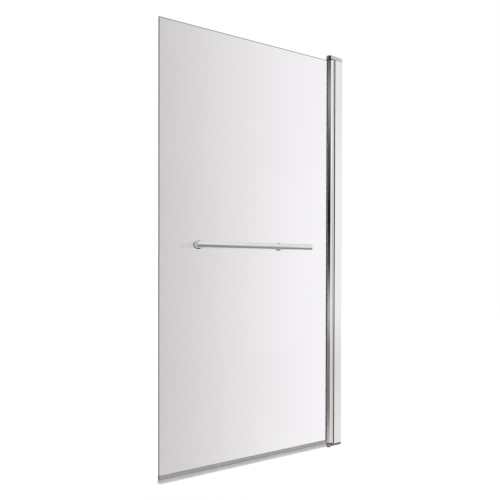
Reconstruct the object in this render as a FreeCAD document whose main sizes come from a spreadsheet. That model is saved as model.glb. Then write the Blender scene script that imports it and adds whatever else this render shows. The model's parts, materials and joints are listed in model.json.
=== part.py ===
import FreeCAD, Part
import math
import os

import Sketcher
from FreeCAD import Placement, Rotation, Vector

# A straight bath screen: one pane of toughened glass that swings on a slim chromed column.
# The column is a wall channel, a post that telescopes in it to take up an uneven wall, and
# a round hinge profile bonded to the glass, which turns on a pin at each end. A towel rail
# stands on two stand-offs in front of the glass, and a drip seal is clipped to its bottom edge.
#
# Frame, in millimetres: the hinge axis is the vertical line x = 0, y = 0. The wall lies at
# +x, the pane runs towards -x, the room is at -y and the bath at +y. z = 0 is the bath rim.

SIZES = [
    # hinge profile, bushes and pins
    ("barrel_radius", 12.5, "outer radius of the round hinge profile"),
    ("lip_reach", 14.2, "hinge axis to the mouth of the glass slot"),
    ("lip_wall", 2.8, "thickness of each lip beside the gasket"),
    ("lip_rounding", 1.0, "rounding of the lips' outer corners"),
    ("bore_radius", 3.5, "bore along the hinge axis"),
    ("bore_wall", 1.0, "metal between the bore and the glass slot"),
    ("pin_radius", 2.5, "pivot pin"),
    ("pin_head_radius", 4.5, "head of the pivot pin"),
    ("pin_head", 2.0, "thickness of the pin's head"),
    ("pin_depth", 20.0, "length of pin inside its bush"),
    ("bush_spare", 2.0, "bush beyond the end of the pin"),
    ("fit_gap", 0.05, "radial clearance of fitted round parts"),
    ("collar_radius", 12.0, "collar of each bush, at the ends of the hinge profile"),
    ("collar_thick", 2.5, "its thickness"),
    ("washer_radius", 7.0, "thrust washer under the lower collar"),
    ("washer_thick", 1.0, "its thickness"),
    ("head_gap", 0.5, "gap above the upper collar"),
    # levels and caps
    ("foot_height", 14.0, "height of the bottom cap"),
    ("profile_length", 1402.5, "length of the wall channel"),
    ("post_rise", 2.5, "post above the top of the wall channel"),
    ("cap_height", 18.5, "height of the top cap at its nose"),
    ("cap_fall", 4.5, "fall of the top cap towards the wall"),
    ("cap_wall", 1.8, "wall of both caps"),
    ("cap_rounding", 4.0, "rounded top edge of the top cap"),
    ("foot_nose_radius", 9.7, "round nose of the bottom cap"),
    ("foot_body_start", 6.0, "hinge axis to the square part of the bottom cap"),
    ("foot_body_lift", 5.0, "square part's underside above the rim"),
    ("foot_rounding", 3.0, "rounded lower edge of the bottom cap's nose"),
    # pivot brackets
    ("bracket_gap", 0.9, "gap between a pivot bracket and the nose of the bottom cap"),
    ("bracket_inset", 1.0, "end of the bracket to the back of the post"),
    ("bracket_thick", 4.0, "thickness of the bracket"),
    ("bracket_screw_radius", 1.85, "shank of the bracket screws"),
    ("bracket_screw_length", 16.0, "thread inside the post"),
    ("bracket_head_radius", 3.6, "head of the bracket screws"),
    ("bracket_head", 2.4, "thickness of that head"),
    # post
    ("seat_gap", 0.4, "gap between the hinge profile and the post's hollow seat"),
    ("seat_wall", 3.6, "post wall behind the seat"),
    ("swing_gap", 1.4, "gap between the swung lips and the tips of the post"),
    ("seal_step", 3.8, "tips of the post to its seals"),
    ("seal_width", 2.8, "width of the post seals"),
    ("seal_seat", 1.3, "depth of the seals' seat in the side of the post"),
    ("seal_proud", 0.4, "seal proud of the post's side"),
    ("tongue_step", 0.8, "front of a post seal to its tongue"),
    ("tongue_width", 1.2, "width of that tongue"),
    ("tongue_depth", 0.8, "depth of that tongue"),
    ("post_wall", 2.0, "wall of the post"),
    ("port_gap", 0.1, "clearance of a bracket screw in its port"),
    ("port_wall", 1.65, "wall around a screw port"),
    ("port_sink", 1.0, "depth to which a port's boss is sunk in the post's wall"),
    # wall channel
    ("channel_half", 13.0, "half the width of the wall channel"),
    ("channel_wall", 2.0, "wall of the channel"),
    ("wall_plane", 52.5, "hinge axis to the wall"),
    ("mouth_gap", 0.4, "post seals to the mouth of the channel"),
    ("slide_gap", 0.5, "gap between the channel and each side of the post"),
    ("wall_screw_room", 4.5, "room for the heads of the wall screws behind the post"),
    ("wiper_start", 1.0, "channel mouth to its wiper"),
    ("wiper_width", 3.0, "width of the wiper"),
    ("wiper_depth", 0.8, "depth of the wiper's groove"),
    ("wiper_gap", 0.1, "gap between wiper and post"),
    ("wall_hole_radius", 2.75, "hole for a wall screw"),
    ("wall_hole_spacing", 400.0, "distance between wall holes"),
    ("travel", 15.0, "width adjustment of the post in the channel"),
    # adjusting screws
    ("screw_back", 8.0, "back of the post to the adjusting screws"),
    ("screw_inset", 137.5, "end of the post to the outer adjusting screws"),
    ("screw_radius", 1.65, "shank of the adjusting screw"),
    ("screw_tip_gap", 1.4, "end of that shank to the middle of the post, past a port"),
    ("screw_head_radius", 4.0, "head of the adjusting screw"),
    ("screw_head", 2.4, "thickness of the head"),
    ("slot_gap", 0.65, "clearance of the shank in the channel's slot"),
    ("plain_washer_radius", 5.0, "washer under the adjusting screw"),
    ("plain_washer_thick", 1.0, "its thickness"),
    ("cover_gap", 0.5, "gap between a snap cover and the washer and head inside it"),
    ("cover_wall", 0.9, "wall of the snap cover"),
    # glass and what holds it
    ("panel_reach", 732.5, "hinge axis to the free edge of the glass"),
    ("glass_bottom", 17.8, "bottom edge of the glass above the rim"),
    ("glass_inset", 1.6, "top of the glass below the top of the hinge profile"),
    ("glass_thick", 6.0, "thickness of the glass"),
    ("glass_arris", 0.6, "ground arris along the edges"),
    ("gasket_thick", 1.2, "glazing gasket each side of the glass"),
    ("bead_reach", 1.0, "gasket bead beyond the lips"),
    ("bead_rise", 1.4, "gasket bead across the lips"),
    ("packer_thick", 1.5, "packers behind the glass"),
    ("packer_length", 60.0, "their length"),
    ("packer_inset", 180.0, "end of the glass to the middle of the outer packers"),
    # drip seal
    ("seal_end", 16.0, "hinge axis to the near end of the drip seal"),
    ("clip_gap", 0.05, "gap between clip and glass"),
    ("clip_wall", 1.25, "wall of the clip"),
    ("clip_floor", 1.3, "floor of the clip, under the glass"),
    ("clip_grip", 10.6, "height of glass inside the clip"),
    ("stem_half", 0.9, "half the clip's stem"),
    ("stem_length", 6.3, "floor of the clip to the end of its stem"),
    ("stem_gap", 0.1, "gap round the stem"),
    ("barb_half", 1.9, "half the barb on the stem"),
    ("barb_height", 1.4, "height of the barb"),
    ("fin_block", 1.6, "block that carries the fins, below the stem"),
    ("fin_tip", 4.8, "tips of the fins above the rim"),
    ("fin_flare", 2.9, "fin tip beyond the side of the block"),
    ("fin_thick", 1.1, "thickness of a fin"),
    # towel rail
    ("rail_radius", 10.0, "outer radius of the rail"),
    ("rail_wall", 1.2, "wall of the tube"),
    ("rail_length", 485.5, "length of the tube"),
    ("rail_stand", 40.0, "middle of the glass to the rail's axis"),
    ("rail_level", 731.5, "rail's axis above the rim"),
    ("rail_inset", 111.5, "free edge of the glass to the far end of the rail"),
    ("stand_far", 29.0, "far end of the rail to its stand-off"),
    ("stand_near", 121.5, "near end of the rail to its stand-off"),
    ("plug_length", 8.0, "end cap inside the tube"),
    ("plug_lip", 2.5, "end cap outside the tube"),
    ("plug_rounding", 0.8, "rounded edge of the end cap"),
    ("stand_radius", 8.0, "stand-off"),
    ("stand_head_radius", 10.5, "head of the stand-off"),
    ("saddle_back", 3.5, "back of the head to the back of the rail"),
    ("saddle_short", 4.0, "rim of the saddle to the rail's axis"),
    ("stand_rounding", 1.2, "rounded back edge of the head"),
    ("spigot_radius", 3.0, "spigot brazed into the tube"),
    ("flange_radius", 13.0, "flange at the glass"),
    ("flange_thick", 8.0, "thickness of the flange"),
    ("flange_rounding", 2.0, "rounded edge of flange and disc"),
    ("disc_radius", 10.0, "disc behind the glass"),
    ("disc_thick", 6.0, "thickness of the rear disc"),
    ("soft_washer_radius", 9.5, "soft washer each side of the glass"),
    ("soft_washer_thick", 0.8, "its thickness"),
    ("bolt_radius", 2.95, "shank of the rail bolt"),
    ("bolt_bush_wall", 2.85, "wall of the bush in the glass"),
    ("bolt_end_gap", 4.0, "end of the bolt to the end of its threaded hole"),
    ("bolt_hole_end", 3.0, "end of that hole to the back of the stand-off's head"),
    ("bolt_head_radius", 5.25, "head of the rail bolt"),
    ("bolt_head", 3.3, "thickness of that head"),
    ("bolt_sink", 3.5, "depth of the counterbore in the rear disc"),
    ("socket_radius", 2.3, "corner radius of the hexagon sockets"),
    ("socket_depth", 1.4, "depth of the hexagon sockets"),
]

WALL_HOLES = 4
ADJUSTING_SCREWS = 3

doc = FreeCAD.newDocument("bath_screen")
sheet = doc.addObject("Spreadsheet::Sheet", "Sizes")
for row, (alias, value, note) in enumerate(SIZES, start=1):
    sheet.set("A%d" % row, str(value))
    sheet.setAlias("A%d" % row, alias)
    sheet.set("B%d" % row, note)
doc.recompute()


class Length:
    """A length as the formula that a sketch, feature or placement is bound to."""

    def __init__(self, text):
        self.text = str(text)

    def __str__(self):
        return self.text

    def __add__(self, other):
        return Length("(%s + %s)" % (self, other))

    def __sub__(self, other):
        return Length("(%s - %s)" % (self, other))

    def __mul__(self, factor):
        return Length("(%s * %s)" % (self, factor))

    def __truediv__(self, divisor):
        return Length("(%s / %s)" % (self, divisor))

    def __neg__(self):
        return Length("(-1 * %s)" % self)


class Sizes:
    """Every driving size of the sheet as a Length, such as size.pin_radius."""

    def __init__(self, rows):
        for alias, _, _ in rows:
            setattr(self, alias, Length("Sizes." + alias))


size = Sizes(SIZES)

# Lengths and places that several pieces share, worked out from the driving sizes.
# Levels are heights above the rim; the other places are distances from the hinge axis.
channel_top = size.foot_height + size.profile_length
channel_middle = size.foot_height + size.profile_length / 2
post_length = size.profile_length + size.post_rise
post_top = size.foot_height + post_length
barrel_bottom = size.foot_height + size.washer_thick + size.collar_thick
barrel_top = post_top - size.head_gap - size.collar_thick
barrel_length = barrel_top - barrel_bottom

glass_half = size.glass_thick / 2
slot_half = glass_half + size.gasket_thick
lip_half = slot_half + size.lip_wall
slot_floor = size.bore_radius + size.bore_wall
glass_root = slot_floor + size.packer_thick
glass_top = barrel_top - size.glass_inset
glass_height = glass_top - size.glass_bottom
clip_bottom = size.glass_bottom - size.clip_floor

channel_inside = size.channel_half - size.channel_wall
channel_back = size.wall_plane - size.channel_wall
post_half = channel_inside - size.slide_gap
post_rear = channel_back - size.wall_screw_room
seat_radius = size.barrel_radius + size.seat_gap
post_front = lip_half + size.swing_gap
seal_front = post_front + size.seal_step
seal_inner = post_half - size.seal_seat
seal_outer = post_half + size.seal_proud
post_shoulder = seal_front + size.seal_width
channel_front = post_shoulder + size.mouth_gap
tongue_front = seal_front + size.tongue_step
tongue_back = tongue_front + size.tongue_width
tongue_floor = seal_inner - size.tongue_depth
hollow_front = seat_radius + size.seat_wall
hollow_rear = post_rear - size.post_wall
port_radius = size.bracket_screw_radius + size.port_gap
boss_radius = port_radius + size.port_wall
port_front = hollow_front + boss_radius - size.port_sink
port_rear = hollow_rear - boss_radius + size.port_sink
screw_place = post_rear - size.screw_back
screw_slot_half = size.screw_radius + size.slot_gap
bracket_half = size.foot_nose_radius - size.cap_wall - size.bracket_gap

rail_far = size.panel_reach - size.rail_inset
rail_near = rail_far - size.rail_length
stand_far = rail_far - size.stand_far
stand_near = rail_near + size.stand_near
STANDS = (("far", stand_far), ("near", stand_near))
stand_head_start = size.rail_stand - size.rail_radius - size.saddle_back
soft_face = glass_half + size.soft_washer_thick
bolt_thread = size.bolt_radius + size.fit_gap
bolt_hole = size.bolt_radius + size.fit_gap * 3
bolt_hole_end = stand_head_start - size.bolt_hole_end
glass_hole_radius = bolt_hole + size.bolt_bush_wall + size.fit_gap


# How the pieces are drawn ---------------------------------------------------------------

def new_body(name):
    body = doc.addObject("PartDesign::Body", name)
    body.Label = name
    return body


def new_sketch(body, plane, offset=0):
    """A sketch on one of the body's own planes, moved along the plane's normal."""
    support = [f for f in body.Origin.OriginFeatures if f.Role == plane][0]
    sketch = body.newObject("Sketcher::SketchObject", body.Name + "_sketch")
    sketch.AttachmentSupport = [(support, "")]
    sketch.MapMode = "FlatFace"
    sketch.setExpression("AttachmentOffset.Base.z", str(offset))
    return sketch


def bind_point(sketch, index, end, x, y):
    """Hold one end of a line, or a circle's centre, at a place given by two lengths."""
    for kind, length in (("DistanceX", x), ("DistanceY", y)):
        held = sketch.addConstraint(Sketcher.Constraint(kind, -1, 1, index, end, 1.0))
        sketch.setExpression("Constraints[%d]" % held, str(length))


def outline(sketch, corners):
    """A closed outline of straight lines: drawn as a regular ring, then bound to its corners."""
    first = sketch.GeometryCount
    count = len(corners)
    turns = [2 * math.pi * i / count for i in range(count + 1)]
    ring = [Vector(10 * math.cos(turn), 10 * math.sin(turn), 0) for turn in turns]
    for i in range(count):
        sketch.addGeometry(Part.LineSegment(ring[i], ring[i + 1]))
    for i in range(count):
        following = first + (i + 1) % count
        sketch.addConstraint(Sketcher.Constraint("Coincident", first + i, 2, following, 1))
    for i, (x, y) in enumerate(corners):
        bind_point(sketch, first + i, 1, x, y)


def rectangle(sketch, x0, x1, y0, y1):
    outline(sketch, [(x0, y0), (x1, y0), (x1, y1), (x0, y1)])


def circle(sketch, x, y, radius):
    index = sketch.addGeometry(Part.Circle(Vector(0, 0, 0), Vector(0, 0, 1), 1.0))
    bind_point(sketch, index, 3, x, y)
    held = sketch.addConstraint(Sketcher.Constraint("Radius", index, 1.0))
    sketch.setExpression("Constraints[%d]" % held, str(radius))


def mirrored(corners, across):
    """Corners on one side, then their mirror images in reverse, to close an outline."""
    if across == "x":
        return corners + [(x, -y) for x, y in reversed(corners)]
    return corners + [(-x, y) for x, y in reversed(corners)]


def pad(body, sketch, length):
    """Extrude a sketch along its normal and join it to the body."""
    feature = body.newObject("PartDesign::Pad", body.Name + "_pad")
    feature.Profile = sketch
    feature.setExpression("Length", str(length))
    doc.recompute()


def pocket(body, sketch, length):
    """Cut a sketch out of the body, along its normal; a cut that misses is an error."""
    before = body.Shape.Volume
    feature = body.newObject("PartDesign::Pocket", body.Name + "_pocket")
    feature.Profile = sketch
    feature.Reversed = True
    feature.setExpression("Length", str(length))
    doc.recompute()
    if body.Shape.Volume >= before:
        raise RuntimeError(body.Name + ": a pocket cuts nothing")


def turn(body, corners):
    """Turn an outline of (radius, height) corners round the body's own z axis."""
    sketch = new_sketch(body, "XZ_Plane")
    outline(sketch, corners)
    feature = body.newObject("PartDesign::Revolution", body.Name + "_turned")
    feature.Profile = sketch
    feature.ReferenceAxis = (sketch, ["V_Axis"])
    feature.Angle = 360
    doc.recompute()


def dress(body, kind, value, wanted):
    """Round or chamfer those edges of the body's present shape that wanted(edge) picks."""
    tip = body.Tip
    names = ["Edge%d" % (i + 1) for i, edge in enumerate(tip.Shape.Edges) if wanted(edge)]
    if not names:
        raise RuntimeError(body.Name + ": no edge to dress")
    feature = body.newObject("PartDesign::" + kind, "%s_%s" % (body.Name, kind.lower()))
    feature.Base = (tip, names)
    feature.setExpression("Radius" if kind == "Fillet" else "Size", str(value))
    doc.recompute()


def widest_rim(body, highest):
    """Picks the circle of largest radius, the highest or the lowest one of that radius."""
    rims = [e.Curve for e in body.Tip.Shape.Edges if hasattr(e.Curve, "Radius")]
    radius = max(rim.Radius for rim in rims)
    levels = [rim.Center.z for rim in rims if abs(rim.Radius - radius) < 1e-6]
    level = max(levels) if highest else min(levels)

    def wanted(edge):
        curve = edge.Curve
        return (hasattr(curve, "Radius") and abs(curve.Radius - radius) < 1e-6
                and abs(curve.Center.z - level) < 1e-6)

    return wanted


def place(piece, x, y, z, rotation=Rotation()):
    """Stand a piece at a place given by three lengths, turned as given."""
    piece.Placement = Placement(Vector(0, 0, 0), rotation)
    piece.setExpression("Placement.Base.x", str(x))
    piece.setExpression("Placement.Base.y", str(y))
    piece.setExpression("Placement.Base.z", str(z))


def group(name, members):
    """Several like solids as one piece of the model."""
    compound = doc.addObject("Part::Compound", name)
    compound.Label = name
    compound.Links = members


def ring(name, inner, outer, low, high):
    """A flat ring between two heights on its own axis."""
    body = new_body(name)
    turn(body, [(inner, low), (outer, low), (outer, high), (inner, high)])
    return body


def screw(name, shank, length, head_radius, head):
    """A cap screw: its head stands on z = 0, its shank runs down and its socket is on top."""
    body = new_body(name)
    turn(body, [(0, -length), (shank, -length), (shank, 0),
                (head_radius, 0), (head_radius, head), (0, head)])
    socket = new_sketch(body, "XY_Plane", head - size.socket_depth)
    outline(socket, [("(%s * cos(%d))" % (size.socket_radius, 60 * i),
                      "(%s * sin(%d))" % (size.socket_radius, 60 * i)) for i in range(6)])
    pocket(body, socket, size.socket_depth)
    return body


UPRIGHT = Rotation()
UPSIDE_DOWN = Rotation(Vector(1, 0, 0), 180)
TO_ROOM = Rotation(Vector(1, 0, 0), 90)
TO_BATH = Rotation(Vector(1, 0, 0), -90)
TO_FREE_EDGE = Rotation(Vector(0, 1, 0), -90)
TO_WALL = Rotation(Vector(0, 1, 0), 90)


# Wall channel: an extruded U screwed to the wall, with a wiper in each side of its mouth ----

wiper_front = channel_front + size.wiper_start
wiper_back = wiper_front + size.wiper_width
wiper_floor = channel_inside + size.wiper_depth


def make_wall_channel():
    body = new_body("wall_channel")
    section = new_sketch(body, "XY_Plane", size.foot_height)
    outline(section, mirrored([
        (size.wall_plane, size.channel_half),
        (channel_front, size.channel_half),
        (channel_front, channel_inside),
        (wiper_front, channel_inside),
        (wiper_front, wiper_floor),
        (wiper_back, wiper_floor),
        (wiper_back, channel_inside),
        (channel_back, channel_inside),
    ], "x"))
    pad(body, section, size.profile_length)

    holes = new_sketch(body, "YZ_Plane", channel_back)
    for i in range(WALL_HOLES):
        steps = i - (WALL_HOLES - 1) / 2
        circle(holes, 0, channel_middle + size.wall_hole_spacing * steps, size.wall_hole_radius)
    pocket(body, holes, size.channel_wall)

    slots = new_sketch(body, "XZ_Plane", -size.channel_half)
    for level in adjusting_levels():
        rectangle(slots, screw_place - size.travel - screw_slot_half,
                  screw_place + screw_slot_half,
                  level - screw_slot_half, level + screw_slot_half)
    pocket(body, slots, size.channel_wall)


def adjusting_levels():
    """Heights of the adjusting screws, evenly spaced from the lowest to the highest."""
    lowest = size.foot_height + size.screw_inset
    step = (size.profile_length - size.screw_inset * 2) / (ADJUSTING_SCREWS - 1)
    return [lowest + step * i for i in range(ADJUSTING_SCREWS)]


def make_wiper(name, side):
    """A soft strip in the channel's mouth; side is +1 for the bath side, -1 for the room."""
    body = new_body(name)
    section = new_sketch(body, "XY_Plane", size.foot_height)
    rectangle(section, wiper_front + size.fit_gap, wiper_back - size.fit_gap,
              (post_half + size.wiper_gap) * side, (wiper_floor - size.fit_gap) * side)
    pad(body, section, size.profile_length)


# Post: an extruded box with a hollow seat for the hinge profile and two screw ports ---------

def make_post():
    body = new_body("hinge_post")
    section = new_sketch(body, "XY_Plane", size.foot_height)
    outline(section, mirrored([
        (post_front, post_half),
        (seal_front, post_half),
        (seal_front, seal_inner),
        (tongue_front - size.fit_gap, seal_inner),
        (tongue_front - size.fit_gap, tongue_floor - size.fit_gap),
        (tongue_back + size.fit_gap, tongue_floor - size.fit_gap),
        (tongue_back + size.fit_gap, seal_inner),
        (post_shoulder, seal_inner),
        (post_shoulder, post_half),
        (post_rear, post_half),
    ], "x"))
    pad(body, section, post_length)

    seat = new_sketch(body, "XY_Plane", size.foot_height)
    circle(seat, 0, 0, seat_radius)
    pocket(body, seat, post_length)

    hollow = new_sketch(body, "XY_Plane", size.foot_height)
    hollow_half = post_half - size.post_wall
    rectangle(hollow, hollow_front, hollow_rear, -hollow_half, hollow_half)
    pocket(body, hollow, post_length)

    bosses = new_sketch(body, "XY_Plane", size.foot_height)
    ports = new_sketch(body, "XY_Plane", size.foot_height)
    for port in (port_front, port_rear):
        circle(bosses, port, 0, boss_radius)
        circle(ports, port, 0, port_radius)
    pad(body, bosses, post_length)
    pocket(body, ports, post_length)

    taps = new_sketch(body, "XZ_Plane", -post_half)
    for level in adjusting_levels():
        circle(taps, screw_place, level, size.screw_radius + size.fit_gap)
    pocket(body, taps, size.post_wall)


def make_post_seal(name, side):
    """A black strip in a seat along one side of the post, at the mouth of the channel."""
    body = new_body(name)
    section = new_sketch(body, "XY_Plane", size.foot_height)
    corners = [
        (seal_front, seal_inner),
        (tongue_front, seal_inner),
        (tongue_front, tongue_floor),
        (tongue_back, tongue_floor),
        (tongue_back, seal_inner),
        (post_shoulder, seal_inner),
        (post_shoulder, seal_outer),
        (seal_front, seal_outer),
    ]
    outline(section, [(x, y * side) for x, y in corners])
    pad(body, section, post_length)


# Pivots: steel brackets screwed to the ends of the post hold the pins that carry the door ---

def make_pivot_bracket(name, level):
    body = new_body(name)
    plate = new_sketch(body, "XY_Plane", level)
    rectangle(plate, 0, post_rear - size.bracket_inset, -bracket_half, bracket_half)
    pad(body, plate, size.bracket_thick)
    nose = new_sketch(body, "XY_Plane", level)
    circle(nose, 0, 0, bracket_half)
    pad(body, nose, size.bracket_thick)
    holes = new_sketch(body, "XY_Plane", level)
    circle(holes, 0, 0, size.pin_radius + size.fit_gap)
    for port in (port_front, port_rear):
        circle(holes, port, 0, size.bracket_screw_radius + size.fit_gap)
    pocket(body, holes, size.bracket_thick)


def make_pivot_pin(name, level, gap, rotation):
    """A headed pin on a bracket; it runs through the plate and the gap into its bush."""
    body = new_body(name)
    length = size.bracket_thick + gap + size.pin_depth
    turn(body, [(0, size.pin_head), (size.pin_head_radius, size.pin_head),
                (size.pin_head_radius, 0), (size.pin_radius, 0),
                (size.pin_radius, -length), (0, -length)])
    place(body, 0, 0, level, rotation)


def make_bush(name, level, rotation):
    """A bush in one end of the hinge profile's bore, with a collar that covers the end."""
    body = new_body(name)
    bore = size.pin_radius + size.fit_gap
    sleeve = size.bore_radius - size.fit_gap
    length = size.pin_depth + size.bush_spare
    turn(body, [(bore, 0), (size.collar_radius, 0),
                (size.collar_radius, size.collar_thick), (sleeve, size.collar_thick),
                (sleeve, length), (bore, length)])
    place(body, 0, 0, level, rotation)


def make_bracket_screws():
    """Two screws through each bracket into the ports of the post."""
    length = size.bracket_thick + size.bracket_screw_length
    members = []
    for end, level, rotation in (
            ("top", post_top + size.bracket_thick, UPRIGHT),
            ("bottom", size.foot_height - size.bracket_thick, UPSIDE_DOWN)):
        for side, port in (("front", port_front), ("rear", port_rear)):
            member = screw("bracket_screw_%s_%s" % (end, side), size.bracket_screw_radius,
                           length, size.bracket_head_radius, size.bracket_head)
            place(member, port, 0, level, rotation)
            members.append(member)
    group("bracket_screws", members)


def make_pivots():
    top_face = post_top + size.bracket_thick
    bottom_face = size.foot_height - size.bracket_thick
    make_pivot_bracket("top_bracket", post_top)
    make_pivot_bracket("bottom_bracket", bottom_face)
    make_pivot_pin("top_pin", top_face, size.head_gap, UPRIGHT)
    make_pivot_pin("bottom_pin", bottom_face, size.washer_thick, UPSIDE_DOWN)
    washer = ring("thrust_washer", size.pin_radius + size.fit_gap, size.washer_radius,
                  0, size.washer_thick)
    place(washer, 0, 0, size.foot_height)
    make_bracket_screws()
    make_bush("top_bush", barrel_top + size.collar_thick, UPSIDE_DOWN)
    make_bush("bottom_bush", barrel_bottom - size.collar_thick, UPRIGHT)


# Caps: chromed shells over the brackets -----------------------------------------------------

def make_top_cap():
    """A hollow cap that stands on the channel, with a round nose over the hinge profile.

    Its top falls from the nose towards the wall.
    """
    body = new_body("top_cap")
    half = size.channel_half
    upper = size.cap_height - size.post_rise
    block = new_sketch(body, "XY_Plane", post_top)
    rectangle(block, 0, size.wall_plane, -half, half)
    pad(body, block, upper)
    nose = new_sketch(body, "XY_Plane", post_top)
    circle(nose, 0, 0, half)
    pad(body, nose, upper)
    skirt = new_sketch(body, "XY_Plane", channel_top)
    rectangle(skirt, channel_front, size.wall_plane, -half, half)
    pad(body, skirt, size.post_rise)

    top = channel_top + size.cap_height
    fall = new_sketch(body, "XZ_Plane", -half)
    outline(fall, [(-half, top), (size.wall_plane, top - size.cap_fall),
                   (size.wall_plane, top)])
    pocket(body, fall, half * 2)

    corners = [vertex.Point for vertex in body.Tip.Shape.Vertexes]
    middle = (max(p.z for p in corners) + min(p.z for p in corners)) / 2
    wall = max(p.x for p in corners)

    def upper_rim(edge):
        """The upper edge all round, but not its end at the wall."""
        ends = [vertex.Point for vertex in edge.Vertexes]
        at_wall = all(abs(p.x - wall) < 1e-6 for p in ends)
        return min(p.z for p in ends) > middle and not at_wall

    dress(body, "Fillet", size.cap_rounding, upper_rim)

    depth = size.cap_height - size.cap_fall - size.cap_wall
    inside = half - size.cap_wall
    hollow = new_sketch(body, "XY_Plane", channel_top)
    rectangle(hollow, 0, size.wall_plane - size.cap_wall, -inside, inside)
    pocket(body, hollow, depth)
    hollow_nose = new_sketch(body, "XY_Plane", channel_top)
    circle(hollow_nose, 0, 0, inside)
    pocket(body, hollow_nose, depth)


def make_bottom_cap():
    """A hollow foot: a small round nose on the rim and a square part just above it."""
    body = new_body("bottom_cap")
    nose = new_sketch(body, "XY_Plane")
    circle(nose, 0, 0, size.foot_nose_radius)
    pad(body, nose, size.foot_height)
    dress(body, "Fillet", size.foot_rounding, widest_rim(body, highest=False))
    block = new_sketch(body, "XY_Plane", size.foot_body_lift)
    rectangle(block, size.foot_body_start, size.wall_plane,
              -size.channel_half, size.channel_half)
    pad(body, block, size.foot_height - size.foot_body_lift)

    floor = size.foot_body_lift + size.cap_wall
    depth = size.foot_height - floor
    inside = size.channel_half - size.cap_wall
    hollow = new_sketch(body, "XY_Plane", floor)
    rectangle(hollow, size.foot_body_start + size.cap_wall, size.wall_plane - size.cap_wall,
              -inside, inside)
    pocket(body, hollow, depth)
    hollow_nose = new_sketch(body, "XY_Plane", floor)
    circle(hollow_nose, 0, 0, size.foot_nose_radius - size.cap_wall)
    pocket(body, hollow_nose, depth)
    passage = new_sketch(body, "XY_Plane", floor)
    passage_half = bracket_half + size.fit_gap * 4
    rectangle(passage, 0, size.foot_body_start + size.cap_wall * 2,
              -passage_half, passage_half)
    pocket(body, passage, depth)


# Adjusting screws: they lock the post in the slots of the channel, on the bath side ---------

def make_adjusting_screws():
    screws = []
    washers = []
    covers = []
    length = (size.channel_half + size.plain_washer_thick
              - boss_radius - size.screw_tip_gap)
    cover_inside = size.plain_washer_radius + size.cover_gap
    cover_radius = cover_inside + size.cover_wall
    cover_under = size.plain_washer_thick + size.screw_head + size.cover_gap
    cover_height = cover_under + size.cover_wall
    cover_slope = size.cover_wall * 1.5
    for i, level in enumerate(adjusting_levels(), start=1):
        member = screw("adjusting_screw_%d" % i, size.screw_radius, length,
                       size.screw_head_radius, size.screw_head)
        place(member, screw_place, size.channel_half + size.plain_washer_thick, level,
              TO_BATH)
        screws.append(member)
        washer = ring("plain_washer_%d" % i, size.screw_radius + size.fit_gap * 2,
                      size.plain_washer_radius, 0, size.plain_washer_thick)
        place(washer, screw_place, size.channel_half, level, TO_BATH)
        washers.append(washer)
        cover = new_body("screw_cover_%d" % i)
        turn(cover, [(cover_inside, 0), (cover_radius, 0),
                     (cover_radius, cover_height - cover_slope),
                     (cover_radius - cover_slope, cover_height), (0, cover_height),
                     (0, cover_under), (cover_inside, cover_under)])
        place(cover, screw_place, size.channel_half, level, TO_BATH)
        covers.append(cover)
    group("adjusting_screws", screws)
    group("plain_washers", washers)
    group("screw_covers", covers)


# Hinge profile: a round bar with a slot for the glass, and what beds the glass in it --------

def make_hinge_profile():
    body = new_body("hinge_profile")
    barrel = new_sketch(body, "XY_Plane", barrel_bottom)
    circle(barrel, 0, 0, size.barrel_radius)
    pad(body, barrel, barrel_length)
    lips = new_sketch(body, "XY_Plane", barrel_bottom)
    rectangle(lips, -size.lip_reach, 0, -lip_half, lip_half)
    pad(body, lips, barrel_length)
    slot = new_sketch(body, "XY_Plane", barrel_bottom)
    rectangle(slot, -(size.lip_reach + size.bead_reach), -slot_floor, -slot_half, slot_half)
    pocket(body, slot, barrel_length)
    bore = new_sketch(body, "XY_Plane", barrel_bottom)
    circle(bore, 0, 0, size.bore_radius)
    pocket(body, bore, barrel_length)

    corners = [vertex.Point for vertex in body.Tip.Shape.Vertexes]
    mouth = min(p.x for p in corners)
    side = max(abs(p.y) for p in corners if abs(p.x - mouth) < 1e-6)

    def lip_corner(edge):
        ends = [vertex.Point for vertex in edge.Vertexes]
        return all(abs(p.x - mouth) < 1e-6 and abs(abs(p.y) - side) < 1e-6 for p in ends)

    dress(body, "Fillet", size.lip_rounding, lip_corner)


def make_gasket(name, side):
    """A glazing strip along one face of the glass, with a small bead over the lip."""
    body = new_body(name)
    section = new_sketch(body, "XY_Plane", size.glass_bottom)
    bead_end = -(size.lip_reach + size.bead_reach)
    corners = [
        (-glass_root, glass_half),
        (-glass_root, slot_half),
        (-size.lip_reach, slot_half),
        (-size.lip_reach, slot_half + size.bead_rise),
        (bead_end, slot_half + size.bead_rise / 2),
        (bead_end, glass_half),
    ]
    outline(section, [(x, y * side) for x, y in corners])
    pad(body, section, glass_height)


def make_packers():
    """Three hard blocks that keep the glass off the floor of its slot."""
    members = []
    for i, middle in enumerate((size.glass_bottom + size.packer_inset,
                                size.glass_bottom + glass_height / 2,
                                glass_top - size.packer_inset), start=1):
        packer = new_body("packer_%d" % i)
        section = new_sketch(packer, "XY_Plane", middle - size.packer_length / 2)
        rectangle(section, -glass_root, -slot_floor, -glass_half, glass_half)
        pad(packer, section, size.packer_length)
        members.append(packer)
    group("glass_packers", members)


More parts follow.
